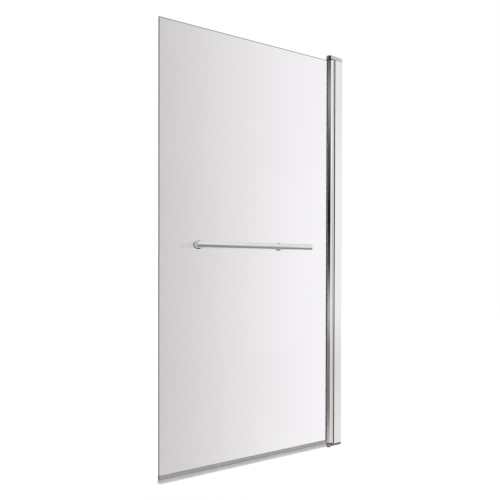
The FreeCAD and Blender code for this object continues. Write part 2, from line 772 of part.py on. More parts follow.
def make_glass():
    body = new_body("glass_panel")
    pane = new_sketch(body, "XZ_Plane", -glass_half)
    rectangle(pane, -size.panel_reach, -glass_root, size.glass_bottom, glass_top)
    pad(body, pane, size.glass_thick)
    face = max(vertex.Point.y for vertex in body.Tip.Shape.Vertexes)

    def around_a_face(edge):
        ends = [vertex.Point.y for vertex in edge.Vertexes]
        return abs(ends[0] - ends[-1]) < 1e-6 and abs(abs(ends[0]) - face) < 1e-6

    dress(body, "Chamfer", size.glass_arris, around_a_face)
    holes = new_sketch(body, "XZ_Plane", -glass_half)
    for _, along in STANDS:
        circle(holes, -along, size.rail_level, glass_hole_radius)
    pocket(body, holes, size.glass_thick)


# Drip seal: a stiff clip under the glass and a soft strip with two fins on its stem ---------

seal_length = size.panel_reach - size.seal_end
clip_inner = glass_half + size.clip_gap
clip_outer = clip_inner + size.clip_wall
stem_bottom = clip_bottom - size.stem_length
barb_top = stem_bottom + size.barb_height


def make_seal_clip():
    body = new_body("seal_clip")
    section = new_sketch(body, "YZ_Plane", -size.panel_reach)
    clip_top = size.glass_bottom + size.clip_grip
    outline(section, mirrored([
        (clip_inner, size.glass_bottom),
        (clip_inner, clip_top),
        (clip_outer, clip_top),
        (clip_outer, clip_bottom),
        (size.stem_half, clip_bottom),
        (size.stem_half, barb_top),
        (size.barb_half, barb_top),
        (size.barb_half, stem_bottom),
    ], "y"))
    pad(body, section, seal_length)


def make_seal_fins():
    body = new_body("seal_fins")
    section = new_sketch(body, "YZ_Plane", -size.panel_reach)
    neck = size.stem_half + size.stem_gap
    pocket_half = size.barb_half + size.stem_gap
    pocket_bottom = stem_bottom - size.stem_gap
    pocket_top = barb_top + size.stem_gap
    block_bottom = stem_bottom - size.fin_block
    fin_outer = clip_outer + size.fin_flare
    outline(section, mirrored([
        (pocket_half, pocket_bottom),
        (pocket_half, pocket_top),
        (neck, pocket_top),
        (neck, clip_bottom),
        (clip_outer, clip_bottom),
        (clip_outer, block_bottom + size.fin_thick * 2),
        (fin_outer, size.fin_tip),
        (fin_outer - size.fin_thick, size.fin_tip),
        (clip_outer - size.fin_thick, block_bottom),
    ], "y"))
    pad(body, section, seal_length)


# Towel rail: a capped tube on two stand-offs, bolted through the glass ----------------------

def make_rail_tube():
    body = new_body("rail_tube")
    section = new_sketch(body, "YZ_Plane", -rail_far)
    circle(section, -size.rail_stand, size.rail_level, size.rail_radius)
    circle(section, -size.rail_stand, size.rail_level, size.rail_radius - size.rail_wall)
    pad(body, section, size.rail_length)
    holes = new_sketch(body, "XZ_Plane", size.rail_stand - size.rail_radius)
    for _, along in STANDS:
        circle(holes, -along, size.rail_level, size.spigot_radius + size.fit_gap)
    pocket(body, holes, size.rail_radius)


def make_rail_cap(name, along, rotation):
    """A turned end cap with a plug that fits the tube."""
    body = new_body(name)
    plug = size.rail_radius - size.rail_wall - size.fit_gap
    turn(body, [(0, -size.plug_length), (plug, -size.plug_length), (plug, 0),
                (size.rail_radius, 0), (size.rail_radius, size.plug_lip),
                (0, size.plug_lip)])
    dress(body, "Fillet", size.plug_rounding, widest_rim(body, highest=True))
    place(body, -along, -size.rail_stand, size.rail_level, rotation)


def make_rail_post(name, along):
    """A stand-off whose head cradles the rail; its z is the distance from mid-glass."""
    body = new_body(name)
    saddle_rim = size.rail_stand - size.saddle_short
    turn(body, [
        (bolt_thread, soft_face), (size.stand_radius, soft_face),
        (size.stand_radius, stand_head_start), (size.stand_head_radius, stand_head_start),
        (size.stand_head_radius, saddle_rim), (0, saddle_rim),
        (0, bolt_hole_end), (bolt_thread, bolt_hole_end)])
    dress(body, "Fillet", size.stand_rounding, widest_rim(body, highest=False))
    saddle = new_sketch(body, "YZ_Plane", -size.stand_head_radius)
    circle(saddle, 0, size.rail_stand, size.rail_radius + size.fit_gap)
    pocket(body, saddle, size.stand_head_radius * 2)
    spigot = new_sketch(body, "XY_Plane", bolt_hole_end)
    circle(spigot, 0, 0, size.spigot_radius)
    inside_of_tube = size.rail_stand - size.rail_radius + size.rail_wall
    pad(body, spigot, inside_of_tube - bolt_hole_end)
    place(body, -along, 0, size.rail_level, TO_ROOM)


def make_rear_disc(name, along, well_floor, face):
    """The chromed disc behind the glass, with a well for the bolt's head."""
    body = new_body(name)
    well = size.bolt_head_radius + size.fit_gap * 5
    turn(body, [(bolt_hole, soft_face), (size.disc_radius, soft_face),
                (size.disc_radius, face), (well, face), (well, well_floor),
                (bolt_hole, well_floor)])
    dress(body, "Fillet", size.flange_rounding, widest_rim(body, highest=True))
    place(body, -along, 0, size.rail_level, TO_BATH)


def make_rail_fixings():
    """On each stand-off: flange, soft washers, bush in the glass, rear disc and bolt."""
    disc_face = soft_face + size.disc_thick
    well_floor = disc_face - size.bolt_sink
    bolt_end = bolt_hole_end - size.bolt_end_gap
    front_washers = []
    rear_washers = []
    bushes = []
    bolts = []
    for side, along in STANDS:
        flange = ring("rail_flange_" + side, size.stand_radius + size.fit_gap,
                      size.flange_radius, soft_face, soft_face + size.flange_thick)
        dress(flange, "Fillet", size.flange_rounding, widest_rim(flange, highest=True))
        place(flange, -along, 0, size.rail_level, TO_ROOM)
        for where, rotation, washers in (("front", TO_ROOM, front_washers),
                                         ("rear", TO_BATH, rear_washers)):
            washer = ring("%s_washer_%s" % (where, side), bolt_hole,
                          size.soft_washer_radius, glass_half, soft_face)
            place(washer, -along, 0, size.rail_level, rotation)
            washers.append(washer)
        bush = ring("glass_bush_" + side, bolt_hole, bolt_hole + size.bolt_bush_wall,
                    -glass_half, glass_half)
        place(bush, -along, 0, size.rail_level, TO_ROOM)
        bushes.append(bush)
        make_rear_disc("rear_disc_" + side, along, well_floor, disc_face)
        bolt = screw("rail_bolt_" + side, size.bolt_radius, well_floor + bolt_end,
                     size.bolt_head_radius, size.bolt_head)
        place(bolt, -along, well_floor, size.rail_level, TO_BATH)
        bolts.append(bolt)
    group("front_washers", front_washers)
    group("rear_washers", rear_washers)
    group("glass_bushes", bushes)
    group("rail_bolts", bolts)


# The screen, put together -------------------------------------------------------------------

make_wall_channel()
make_wiper("wiper_front", -1)
make_wiper("wiper_rear", 1)

make_post()
make_post_seal("post_seal_front", -1)
make_post_seal("post_seal_rear", 1)
make_pivots()
make_top_cap()
make_bottom_cap()
make_adjusting_screws()

make_hinge_profile()
make_gasket("gasket_front", -1)
make_gasket("gasket_rear", 1)
make_packers()
make_glass()
make_seal_clip()
make_seal_fins()
make_rail_tube()
make_rail_cap("rail_cap_far", rail_far, TO_FREE_EDGE)
make_rail_cap("rail_cap_near", rail_near, TO_WALL)
for side_name, stand in STANDS:
    make_rail_post("rail_post_" + side_name, stand)
make_rail_fixings()

doc.recompute()

# Every object has to be sound before any file is written
for item in doc.Objects:
    if "Invalid" in item.State or "Error" in item.State:
        raise RuntimeError(item.Label + " failed: " + ", ".join(item.State))

grouped = {member.Name for item in doc.Objects if item.TypeId == "Part::Compound"
           for member in item.Links}
pieces = [item for item in doc.Objects
          if item.TypeId in ("PartDesign::Body", "Part::Compound")
          and item.Name not in grouped]
for piece in pieces:
    if piece.Shape.isNull() or not piece.Shape.isValid() or not piece.Shape.Solids:
        raise RuntimeError(piece.Label + " has no sound solid")

os.makedirs("parts", exist_ok=True)
for piece in pieces:
    piece.Shape.exportStep("parts/%s.step" % piece.Label)
    print(piece.Label, len(piece.Shape.Solids), round(piece.Shape.Volume, 1))
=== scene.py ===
import json

import bmesh
import bpy
import numpy as np
from mathutils.geometry import tessellate_polygon
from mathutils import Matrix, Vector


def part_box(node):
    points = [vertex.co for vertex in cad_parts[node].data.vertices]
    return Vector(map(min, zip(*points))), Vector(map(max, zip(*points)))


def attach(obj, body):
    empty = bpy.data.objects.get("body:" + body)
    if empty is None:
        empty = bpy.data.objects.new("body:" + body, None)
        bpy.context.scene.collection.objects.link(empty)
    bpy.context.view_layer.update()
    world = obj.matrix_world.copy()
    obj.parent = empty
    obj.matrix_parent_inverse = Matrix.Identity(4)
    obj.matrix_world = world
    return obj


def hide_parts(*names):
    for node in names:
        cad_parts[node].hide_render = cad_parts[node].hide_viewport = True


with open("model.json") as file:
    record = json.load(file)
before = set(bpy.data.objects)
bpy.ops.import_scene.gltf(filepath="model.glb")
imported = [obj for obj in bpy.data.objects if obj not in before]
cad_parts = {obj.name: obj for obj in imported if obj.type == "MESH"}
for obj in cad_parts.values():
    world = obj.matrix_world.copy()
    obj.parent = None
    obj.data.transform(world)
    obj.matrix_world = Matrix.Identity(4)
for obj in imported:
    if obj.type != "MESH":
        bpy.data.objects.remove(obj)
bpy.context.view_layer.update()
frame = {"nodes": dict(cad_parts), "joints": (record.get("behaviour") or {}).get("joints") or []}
scene = bpy.context.scene
nodes = frame["nodes"]


# The view. The screen is seen from the room at about chest height, well to the free-edge side,
# through a normal lens held level, so that its uprights stay upright in the picture.

camera_data = bpy.data.cameras.new("camera")
camera = bpy.data.objects.new("camera", camera_data)
scene.collection.objects.link(camera)
scene.camera = camera

camera.location = (-1.8770, -1.8254, 0.6659)
camera.rotation_euler = np.radians((90 - 0.704, -0.12, -39.224))
frame_pixels = 500
focal_pixels = 708.8
centre_across, centre_down = 247.5, 274.57
camera_data.sensor_width = 36
camera_data.lens = camera_data.sensor_width * focal_pixels / frame_pixels
camera_data.shift_x = 0.5 - centre_across / frame_pixels
camera_data.shift_y = centre_down / frame_pixels - 0.5


# The studio: a pale room with a soft key lamp. Metal mirrors its bright side, a dim side with a
# few paler bands and a grey screen in the room. The glass shows the soft folds of a pale curtain.

scene.view_settings.view_transform = "Standard"


def node(tree, kind, at=(0, 0), **settings):
    """Add a node, set the attributes that it has, and set its other named inputs."""
    made = tree.nodes.new(kind)
    made.location = at
    for name, value in settings.items():
        if hasattr(made, name):
            setattr(made, name, value)
        else:
            made.inputs[name].default_value = value
    return made


def ramp(tree, stops, at=(0, 0), interpolation="EASE"):
    """A colour ramp with (position, colour) stops."""
    made = node(tree, "ShaderNodeValToRGB", at)
    made.color_ramp.interpolation = interpolation
    elements = made.color_ramp.elements
    while len(elements) < len(stops):
        elements.new(1.0)
    for element, (position, colour) in zip(elements, stops):
        element.position = position
        element.color = (*colour, 1)
    return made


def share(tree, start, end, at, **settings):
    """A Map Range node: how far a value has come from start (0) to end (1)."""
    return node(tree, "ShaderNodeMapRange", at, **{"From Min": start, "From Max": end}, **settings)


def studio_world():
    """White to the camera; bright, dim and grey sides to metal; a curtain to the glass."""
    world = bpy.data.worlds.new("studio")
    scene.world = world
    world.use_nodes = True
    tree = world.node_tree
    tree.nodes.clear()
    link = tree.links.new

    ray = node(tree, "ShaderNodeTexCoord", (-1400, 0))
    split = node(tree, "ShaderNodeSeparateXYZ", (-1200, 0))
    link(ray.outputs["Generated"], split.inputs[0])
    heading = node(tree, "ShaderNodeMath", (-1000, 200), operation="ARCTAN2")
    link(split.outputs["X"], heading.inputs[0])
    link(split.outputs["Y"], heading.inputs[1])
    # A heading is an angle from +Y towards +X. On turn the room, -Y, is 0 and 1, the bath, +Y, is
    # 0.5 and the wall, +X, is 0.75.
    turn = share(tree, -np.pi, np.pi, (-800, 200))
    link(heading.outputs[0], turn.inputs["Value"])
    height = share(tree, -1, 1, (-800, -100))
    link(split.outputs["Z"], height.inputs["Value"])

    def grey(level):
        return (level, level, level)

    # How much of the bright side is seen on turn: low down with the grey screen, which stands at
    # headings from 138 to 157 degrees, and higher up above it
    bright_low = ramp(tree, [
        (0.00, grey(1.0)), (0.010, grey(1.0)), (0.017, grey(0.0)), (0.68, grey(0.0)),
        (0.71, grey(1.0)), (0.876, grey(1.0)), (0.884, grey(0.7)),
        (0.902, grey(0.4)), (0.930, grey(0.4)), (0.938, grey(1.0)), (1.00, grey(1.0)),
    ], (-600, 450))
    bright_high = ramp(tree, [
        (0.00, grey(1.0)), (0.010, grey(1.0)), (0.017, grey(0.0)), (0.68, grey(0.0)),
        (0.71, grey(1.0)), (1.00, grey(1.0)),
    ], (-600, 200))
    screen_top = (0.555, 0.58)
    above_screen = share(tree, *screen_top, (-600, 650))
    bright = node(tree, "ShaderNodeMix", (-300, 400), data_type="RGBA")
    link(turn.outputs[0], bright_low.inputs[0])
    link(turn.outputs[0], bright_high.inputs[0])
    link(height.outputs[0], above_screen.inputs["Value"])
    link(above_screen.outputs[0], bright.inputs["Factor"])
    link(bright_low.outputs[0], bright.inputs["A"])
    link(bright_high.outputs[0], bright.inputs["B"])
    # What the bright and the dim side show from the floor (0) over the horizon (0.5) upwards (1)
    bright_side = ramp(tree, [
        (0.00, grey(0.30)), (0.20, grey(0.30)), (0.30, grey(0.45)), (0.375, (0.90, 0.86, 0.84)),
        (0.425, (0.84, 0.80, 0.79)), (0.475, (1.0, 0.965, 0.98)), (0.55, (1.0, 0.96, 0.99)),
        (0.62, (0.91, 0.875, 0.90)), (0.70, (0.98, 0.94, 0.97)), (0.90, grey(0.92)),
        (1.00, grey(0.95)),
    ], (-600, 0))
    dim_side = ramp(tree, [
        (0.00, grey(0.10)), (0.20, grey(0.15)), (0.30, grey(0.28)), (0.385, grey(0.45)),
        (0.41, grey(0.10)), (0.445, grey(0.09)), (0.47, grey(0.40)), (0.49, grey(0.10)),
        (0.515, grey(0.03)), (0.545, grey(0.13)), (0.575, grey(0.08)), (0.62, grey(0.20)),
        (0.66, grey(0.35)), (1.00, grey(0.45)),
    ], (-600, -120))
    doorway = ramp(tree, [
        (0.00, grey(0.10)), (0.30, grey(0.30)), (0.375, grey(0.50)), (0.405, grey(0.20)),
        (0.44, grey(0.21)), (0.468, grey(0.42)), (0.505, grey(0.06)), (0.535, grey(0.012)),
        (0.575, grey(0.07)), (0.615, grey(0.27)), (0.65, grey(0.05)), (1.00, grey(0.03)),
    ], (-600, -360))
    link(height.outputs[0], bright_side.inputs[0])
    link(height.outputs[0], dim_side.inputs[0])
    link(height.outputs[0], doorway.inputs[0])
    # The doorway stands at the end of the dim side, at headings from 186 to 273 degrees, and its
    # far edge is soft
    doorway_edge = (0.28, 0.24)
    in_doorway = share(tree, *doorway_edge, (-450, -480))
    link(turn.outputs[0], in_doorway.inputs["Value"])
    dim = node(tree, "ShaderNodeMix", (-250, -100), data_type="RGBA")
    link(in_doorway.outputs[0], dim.inputs["Factor"])
    link(dim_side.outputs[0], dim.inputs["A"])
    link(doorway.outputs[0], dim.inputs["B"])
    # The wall's corner, at headings from 5 to 70 degrees, is the darkest part of the dim side
    corner_level = 0.012
    in_corner = ramp(tree, [
        (0.00, grey(0.0)), (0.49, grey(0.0)), (0.53, grey(1.0)), (1.00, grey(1.0)),
    ], (-450, -700))
    link(turn.outputs[0], in_corner.inputs[0])
    dark_corner = node(tree, "ShaderNodeMix", (-100, -100), data_type="RGBA")
    dark_corner.inputs["B"].default_value = (*grey(corner_level), 1)
    link(in_corner.outputs[0], dark_corner.inputs["Factor"])
    link(dim.outputs["Result"], dark_corner.inputs["A"])
    metal_sees = node(tree, "ShaderNodeMix", (-100, 200), data_type="RGBA")
    link(bright.outputs["Result"], metal_sees.inputs["Factor"])
    link(dark_corner.outputs["Result"], metal_sees.inputs["A"])
    link(bright_side.outputs[0], metal_sees.inputs["B"])

    # The curtain hangs in seven folds all round, and is a little dimmer above the screen
    folds = 7
    fold_start = 23.5
    upper_dimming = 0.975
    fold = node(tree, "ShaderNodeMath", (-600, -250), operation="MULTIPLY_ADD")
    fold.inputs[1].default_value = folds
    fold.inputs[2].default_value = -np.radians(fold_start) * folds
    link(heading.outputs[0], fold.inputs[0])
    wave = node(tree, "ShaderNodeMath", (-450, -250), operation="COSINE")
    link(fold.outputs[0], wave.inputs[0])
    shade = share(tree, 1, -1, (-300, -250))
    link(wave.outputs[0], shade.inputs["Value"])
    curtain = ramp(tree, [(0.0, (0.50, 0.470, 0.462)), (1.0, (1.0, 0.975, 1.01))],
                   (-100, -250), "LINEAR")
    link(shade.outputs[0], curtain.inputs[0])
    upper_shade = node(tree, "ShaderNodeMapRange", (-100, -500))
    upper_shade.inputs["To Min"].default_value = 1.0
    upper_shade.inputs["To Max"].default_value = upper_dimming
    link(above_screen.outputs[0], upper_shade.inputs["Value"])
    glass_sees = node(tree, "ShaderNodeVectorMath", (150, -300), operation="SCALE")
    link(curtain.outputs[0], glass_sees.inputs[0])
    link(upper_shade.outputs[0], glass_sees.inputs["Scale"])

    # Other rays, which light the matt surfaces, see an even room; the camera sees white
    room_level = 0.78
    path = node(tree, "ShaderNodeLightPath", (-300, 600))
    steps = [("Is Glossy Ray", metal_sees.outputs["Result"]),
             ("Is Transmission Ray", glass_sees.outputs[0]),
             ("Is Camera Ray", None)]
    seen = None
    for place, (kind, colour) in enumerate(steps):
        choice = node(tree, "ShaderNodeMix", (150 + place * 200, 200), data_type="RGBA")
        link(path.outputs[kind], choice.inputs["Factor"])
        if seen is None:
            choice.inputs["A"].default_value = (*grey(room_level), 1)
        else:
            link(seen, choice.inputs["A"])
        if colour is None:
            choice.inputs["B"].default_value = (1, 1, 1, 1)
        else:
            link(colour, choice.inputs["B"])
        seen = choice.outputs["Result"]
    background = node(tree, "ShaderNodeBackground", (800, 200))
    link(seen, background.inputs["Color"])
    output = node(tree, "ShaderNodeOutputWorld", (1000, 200))
    link(background.outputs[0], output.inputs["Surface"])


studio_world()

key = bpy.data.lights.new("key", "SUN")
key.energy = 0.9
key_width = 50
key_turns = (48, 0, -25)
key.angle = np.radians(key_width)
key_lamp = bpy.data.objects.new("key", key)
key_lamp.rotation_euler = np.radians(key_turns)
key_lamp.visible_glossy = False
key_lamp.visible_transmission = False
scene.collection.objects.link(key_lamp)


def surface(name, points, faces):
    """A mesh object from an array of points and a list of faces."""
    mesh = bpy.data.meshes.new(name)
    mesh.from_pydata(np.asarray(points, float).reshape(-1, 3).tolist(), [], faces)
    made = bpy.data.objects.new(name, mesh)
    scene.collection.objects.link(made)
    return made


# The bath is left out, so the floor lies as far below the screen as a bath rim stands above it
floor_level = -0.55
floor_reach = 14
floor = surface("floor", [(-floor_reach, -floor_reach, floor_level),
                          (floor_reach, -floor_reach, floor_level),
                          (floor_reach, floor_reach, floor_level),
                          (-floor_reach, floor_reach, floor_level)], [(0, 1, 2, 3)])
floor.visible_glossy = False
floor.visible_transmission = False


def floor_paint():
    """Matt white paint, lifted to the white of the background for the camera alone."""
    camera_lift = 0.2
    material = bpy.data.materials.new("floor_paint")
    material.use_nodes = True
    tree = material.node_tree
    tree.nodes.clear()
    paint = node(tree, "ShaderNodeBsdfDiffuse", (0, 0), Color=(0.9, 0.9, 0.9, 1))
    lift = node(tree, "ShaderNodeEmission", (0, -150))
    path = node(tree, "ShaderNodeLightPath", (-400, -150))
    level = node(tree, "ShaderNodeMath", (-200, -150), operation="MULTIPLY")
    level.inputs[1].default_value = camera_lift
    tree.links.new(path.outputs["Is Camera Ray"], level.inputs[0])
    tree.links.new(level.outputs[0], lift.inputs["Strength"])
    both = node(tree, "ShaderNodeAddShader", (200, 0))
    tree.links.new(paint.outputs[0], both.inputs[0])
    tree.links.new(lift.outputs[0], both.inputs[1])
    output = node(tree, "ShaderNodeOutputMaterial", (400, 0))
    tree.links.new(both.outputs[0], output.inputs["Surface"])
    return material


floor.data.materials.append(floor_paint())


# Wall channel: an aluminium extrusion of U section, polished and anodised bright, screwed to the
# wall through its back. Its bath side has three slots in which the post is adjusted and locked.

def rounded(corners, radii, steps=6):
    """A closed outline with rounded corners.

    A corner that turns by an angle a is cut back by r * tan(a / 2) along both its sides. The
    point at a share k of its arc is the first cut, moved by r * sin(k a) along the first side
    and by r * (1 - cos(k a)) across it.
    """
    corners = np.asarray(corners, float)
    arriving = corners - np.roll(corners, 1, axis=0)
    leaving = np.roll(corners, -1, axis=0) - corners
    arriving /= np.linalg.norm(arriving, axis=1, keepdims=True)
    leaving /= np.linalg.norm(leaving, axis=1, keepdims=True)
    cross = arriving[:, 0] * leaving[:, 1] - arriving[:, 1] * leaving[:, 0]
    turn = np.arctan2(cross, (arriving * leaving).sum(axis=1))
    radii = np.broadcast_to(np.asarray(radii, float), turn.shape)
    start = corners - arriving * (radii * np.tan(np.abs(turn) / 2))[:, None]
    across = np.stack([-arriving[:, 1], arriving[:, 0]], axis=1) * np.sign(turn)[:, None]
    angle = np.abs(turn)[:, None] * np.linspace(0, 1, steps + 1)
    along_arc = np.sin(angle)[:, :, None] * arriving[:, None]
    across_arc = (1 - np.cos(angle))[:, :, None] * across[:, None]
    points = start[:, None] + radii[:, None, None] * (along_arc + across_arc)
    points = points.reshape(-1, 2)
    apart = np.linalg.norm(points - np.roll(points, 1, axis=0), axis=1) > 1e-7
    return points[apart]


def circle(radius, centre=(0, 0), sides=96):
    """Points at centre + radius * (cos a, sin a), for a all round."""
    angle = np.linspace(0, 2 * np.pi, sides, endpoint=False)
    return np.stack([np.cos(angle), np.sin(angle)], axis=1) * radius + np.asarray(centre)


def inset(outline, depth):
    """An outline moved inwards by a small depth, along the mean normal of the sides that meet."""
    side = np.roll(outline, -1, axis=0) - outline
    normal = np.stack([side[:, 1], -side[:, 0]], axis=1)
    normal /= np.linalg.norm(normal, axis=1, keepdims=True)
    mean = normal + np.roll(normal, 1, axis=0)
    mean /= (mean * mean).sum(axis=1, keepdims=True) / 2
    return outline - mean * depth


def finished(piece, angle=35):
    """Weld a closed skin, turn its faces outwards, and shade it smooth between its edges."""
    skin = bmesh.new()
    skin.from_mesh(piece.data)
    bmesh.ops.remove_doubles(skin, verts=skin.verts, dist=1e-7)
    bmesh.ops.recalc_face_normals(skin, faces=skin.faces)
    skin.to_mesh(piece.data)
    skin.free()
    piece.data.shade_smooth()
    piece.data.set_sharp_from_angle(angle=np.radians(angle))
    weighted = piece.modifiers.new("even_faces", "WEIGHTED_NORMAL")
    weighted.keep_sharp = True
    return piece


def carried(name, outlines, low, high, axis="z", edge=0.0003):
    """A solid bar: closed outlines carried along a straight path, its ends broken by edge.

    The first outline is the outer one, anticlockwise, and the others are holes through the bar.
    Station k of the path moves the outline to (x, y, height) or, along x, to (height, y, z).
    """
    heights = np.array([low, low + edge, high - edge, high])
    points = []
    faces = []
    rings = []
    for place, outline in enumerate(outlines):
        outline = np.asarray(outline, float)
        if place:
            outline = outline[::-1]
        count = len(outline)
        first = sum(len(part) for part in points)
        stations = [inset(outline, edge), outline, outline, inset(outline, edge)]
        for station, height in zip(stations, heights):
            points.append(np.column_stack([station, np.full(count, height)]))
        corner = np.arange(count)
        following = (corner + 1) % count
        for step in range(3):
            lower = first + step * count
            upper = lower + count
            faces += np.stack([lower + corner, lower + following,
                               upper + following, upper + corner], axis=1).tolist()
        rings.append((first, count, stations[0]))
    loops = [[(x, y, 0) for x, y in ring] for _, _, ring in rings]
    index = np.concatenate([first + np.arange(count) for first, count, _ in rings])
    top = np.concatenate([first + 3 * count + np.arange(count) for first, count, _ in rings])
    triangles = np.array(tessellate_polygon(loops))
    faces += index[triangles].tolist() + top[triangles].tolist()
    points = np.concatenate(points)
    if axis == "x":
        points = points[:, [2, 0, 1]]
    return finished(surface(name, points, faces))


def turned(name, profile, centre, axis, sides=96):
    """A closed profile of (radius, height) corners turned round an axis through a centre.

    Its point at angle a is centre + radius * (cos a * e1 + sin a * e2) + height * axis, where e1
    and e2 are square to the axis.
    """
    axis = np.asarray(axis, float)
    e1 = np.cross(axis, (0.0, 0.0, 1.0) if abs(axis[2]) < 0.5 else (0.0, 1.0, 0.0))
    e2 = np.cross(axis, e1)
    angle = np.linspace(0, 2 * np.pi, sides, endpoint=False)
    around = np.cos(angle)[:, None] * e1 + np.sin(angle)[:, None] * e2
    radius = profile[:, 0][:, None, None]
    height = profile[:, 1][:, None, None]
    points = np.asarray(centre, float) + radius * around + height * axis
    k, j = np.meshgrid(np.arange(len(profile)), np.arange(sides), indexing="ij")
    after_k = (k + 1) % len(profile)
    after_j = (j + 1) % sides
    quads = np.stack([k * sides + j, k * sides + after_j,
                      after_k * sides + after_j, after_k * sides + j], axis=-1)
    return finished(surface(name, points, quads.reshape(-1, 4).tolist()))


def worked(piece, tool, operation="DIFFERENCE"):
    """Cut a tool out of a piece, or join the two, and take the tool away."""
    step = piece.modifiers.new("worked", "BOOLEAN")
    step.operation = operation
    step.solver = "EXACT"
    step.object = tool
    graph = bpy.context.evaluated_depsgraph_get()
    cut = bpy.data.meshes.new_from_object(piece.evaluated_get(graph))
    piece.modifiers.clear()
    piece.data = cut
    bpy.data.objects.remove(tool)
    return finished(piece)


def effect(name, inputs, outputs):
    """A shader node group with named sockets; it starts with its two end nodes."""
    group = bpy.data.node_groups.new(name, "ShaderNodeTree")
    for socket, kind, value in inputs:
        made = group.interface.new_socket(socket, in_out="INPUT", socket_type=kind)
        made.default_value = value
    for socket, kind in outputs:
        group.interface.new_socket(socket, in_out="OUTPUT", socket_type=kind)
    return group, node(group, "NodeGroupInput", (-900, 0)), node(group, "NodeGroupOutput",
                                                                   (900, 0))


def drawn_lines():
    """Fine lines that a die leaves along an extrusion or a tube, as a height."""
    group, given, result = effect(
        "drawn_lines",
        [("Position", "NodeSocketVector", (0, 0, 0)),
         ("Stretch", "NodeSocketVector", (3000, 3000, 2)),
         ("Unevenness", "NodeSocketFloat", 0.35)],
        [("Height", "NodeSocketFloat"), ("Shade", "NodeSocketFloat")])
    link = group.links.new
    spread = node(group, "ShaderNodeVectorMath", (-650, 100), operation="MULTIPLY")
    link(given.outputs["Position"], spread.inputs[0])
    link(given.outputs["Stretch"], spread.inputs[1])
    fine = node(group, "ShaderNodeTexNoise", (-400, 100), Scale=1.0, Detail=2.0)
    link(spread.outputs[0], fine.inputs["Vector"])
    coarse = node(group, "ShaderNodeTexNoise", (-400, -150), Scale=0.12, Detail=1.0)
    link(spread.outputs[0], coarse.inputs["Vector"])
    blended = node(group, "ShaderNodeMix", (-100, 0), data_type="FLOAT")
    link(given.outputs["Unevenness"], blended.inputs["Factor"])
    link(fine.outputs["Fac"], blended.inputs["A"])
    link(coarse.outputs["Fac"], blended.inputs["B"])
    link(blended.outputs["Result"], result.inputs["Height"])
    shade = share(group, 0.3, 0.7, (200, -150))
    link(coarse.outputs["Fac"], shade.inputs["Value"])
    link(shade.outputs[0], result.inputs["Shade"])
    return group


def handling():
    """Soft wiping marks and a few specks on a polished face, as two masks."""
    group, given, result = effect(
        "handling",
        [("Position", "NodeSocketVector", (0, 0, 0)),
         ("Size", "NodeSocketFloat", 14.0)],
        [("Wiped", "NodeSocketFloat"), ("Specks", "NodeSocketFloat")])
    link = group.links.new
    smear = node(group, "ShaderNodeTexNoise", (-400, 100), Detail=4.0, Roughness=0.6,
                 Distortion=0.8)
    link(given.outputs["Position"], smear.inputs["Vector"])
    link(given.outputs["Size"], smear.inputs["Scale"])
    soft = share(group, 0.4, 0.7, (-150, 100), interpolation_type="SMOOTHSTEP")
    link(smear.outputs["Fac"], soft.inputs["Value"])
    link(soft.outputs[0], result.inputs["Wiped"])
    dots = node(group, "ShaderNodeTexVoronoi", (-400, -200), Scale=420.0)
    link(given.outputs["Position"], dots.inputs["Vector"])
    few = share(group, 0.09, 0.05, (-150, -200))
    link(dots.outputs["Distance"], few.inputs["Value"])
    link(few.outputs[0], result.inputs["Specks"])
    return group


drawn_lines_group = drawn_lines()
handling_group = handling()


def placed(tree, group, at, **values):
    """Place an effect in a material, fed with Object coordinates, with its own values."""
    made = node(tree, "ShaderNodeGroup", at, node_tree=group)
    for name, value in values.items():
        made.inputs[name].default_value = value
    position = node(tree, "ShaderNodeTexCoord", (at[0] - 200, at[1]))
    tree.links.new(position.outputs["Object"], made.inputs["Position"])
    return made


def shader(name, **settings):
    """A material with a Principled shader and the values that are the same all over it."""
    material = bpy.data.materials.new(name)
    material.use_nodes = True
    tree = material.node_tree
    tree.nodes.clear()
    base = node(tree, "ShaderNodeBsdfPrincipled", (300, 0))
    for socket, value in settings.items():
        base.inputs[socket.replace("_", " ")].default_value = value
    output = node(tree, "ShaderNodeOutputMaterial", (600, 0))
    tree.links.new(base.outputs[0], output.inputs["Surface"])
    return material, tree, base


def varied(tree, factor, low, high, at=(0, 0)):
    """A value that goes from low to high with a factor from 0 to 1."""
    made = node(tree, "ShaderNodeMapRange", at)
    made.inputs["To Min"].default_value = low
    made.inputs["To Max"].default_value = high
    tree.links.new(factor, made.inputs["Value"])
    return made.outputs["Result"]


def tinted(tree, factor, low, high, at=(0, 0)):
    """A colour that goes from low to high with a factor from 0 to 1."""
    made = node(tree, "ShaderNodeMix", at, data_type="RGBA")
    made.inputs["A"].default_value = (*low, 1)
    made.inputs["B"].default_value = (*high, 1)
    tree.links.new(factor, made.inputs["Factor"])
    return made.outputs["Result"]


def raised(tree, base, height, strength, distance, at=(0, -300)):
    """Feed a height through a Bump node into the shader's normal."""
    bump = node(tree, "ShaderNodeBump", at, Strength=strength, Distance=distance)
    tree.links.new(height, bump.inputs["Height"])
    tree.links.new(bump.outputs[0], base.inputs["Normal"])


def lined(tree, base, stretch, strength):
    """Raise fine lines on a material, drawn out along each axis by stretch."""
    line_height = 0.00005
    lines = placed(tree, drawn_lines_group, (-500, -200), Stretch=stretch)
    raised(tree, base, lines.outputs["Height"], strength, line_height)
    return lines


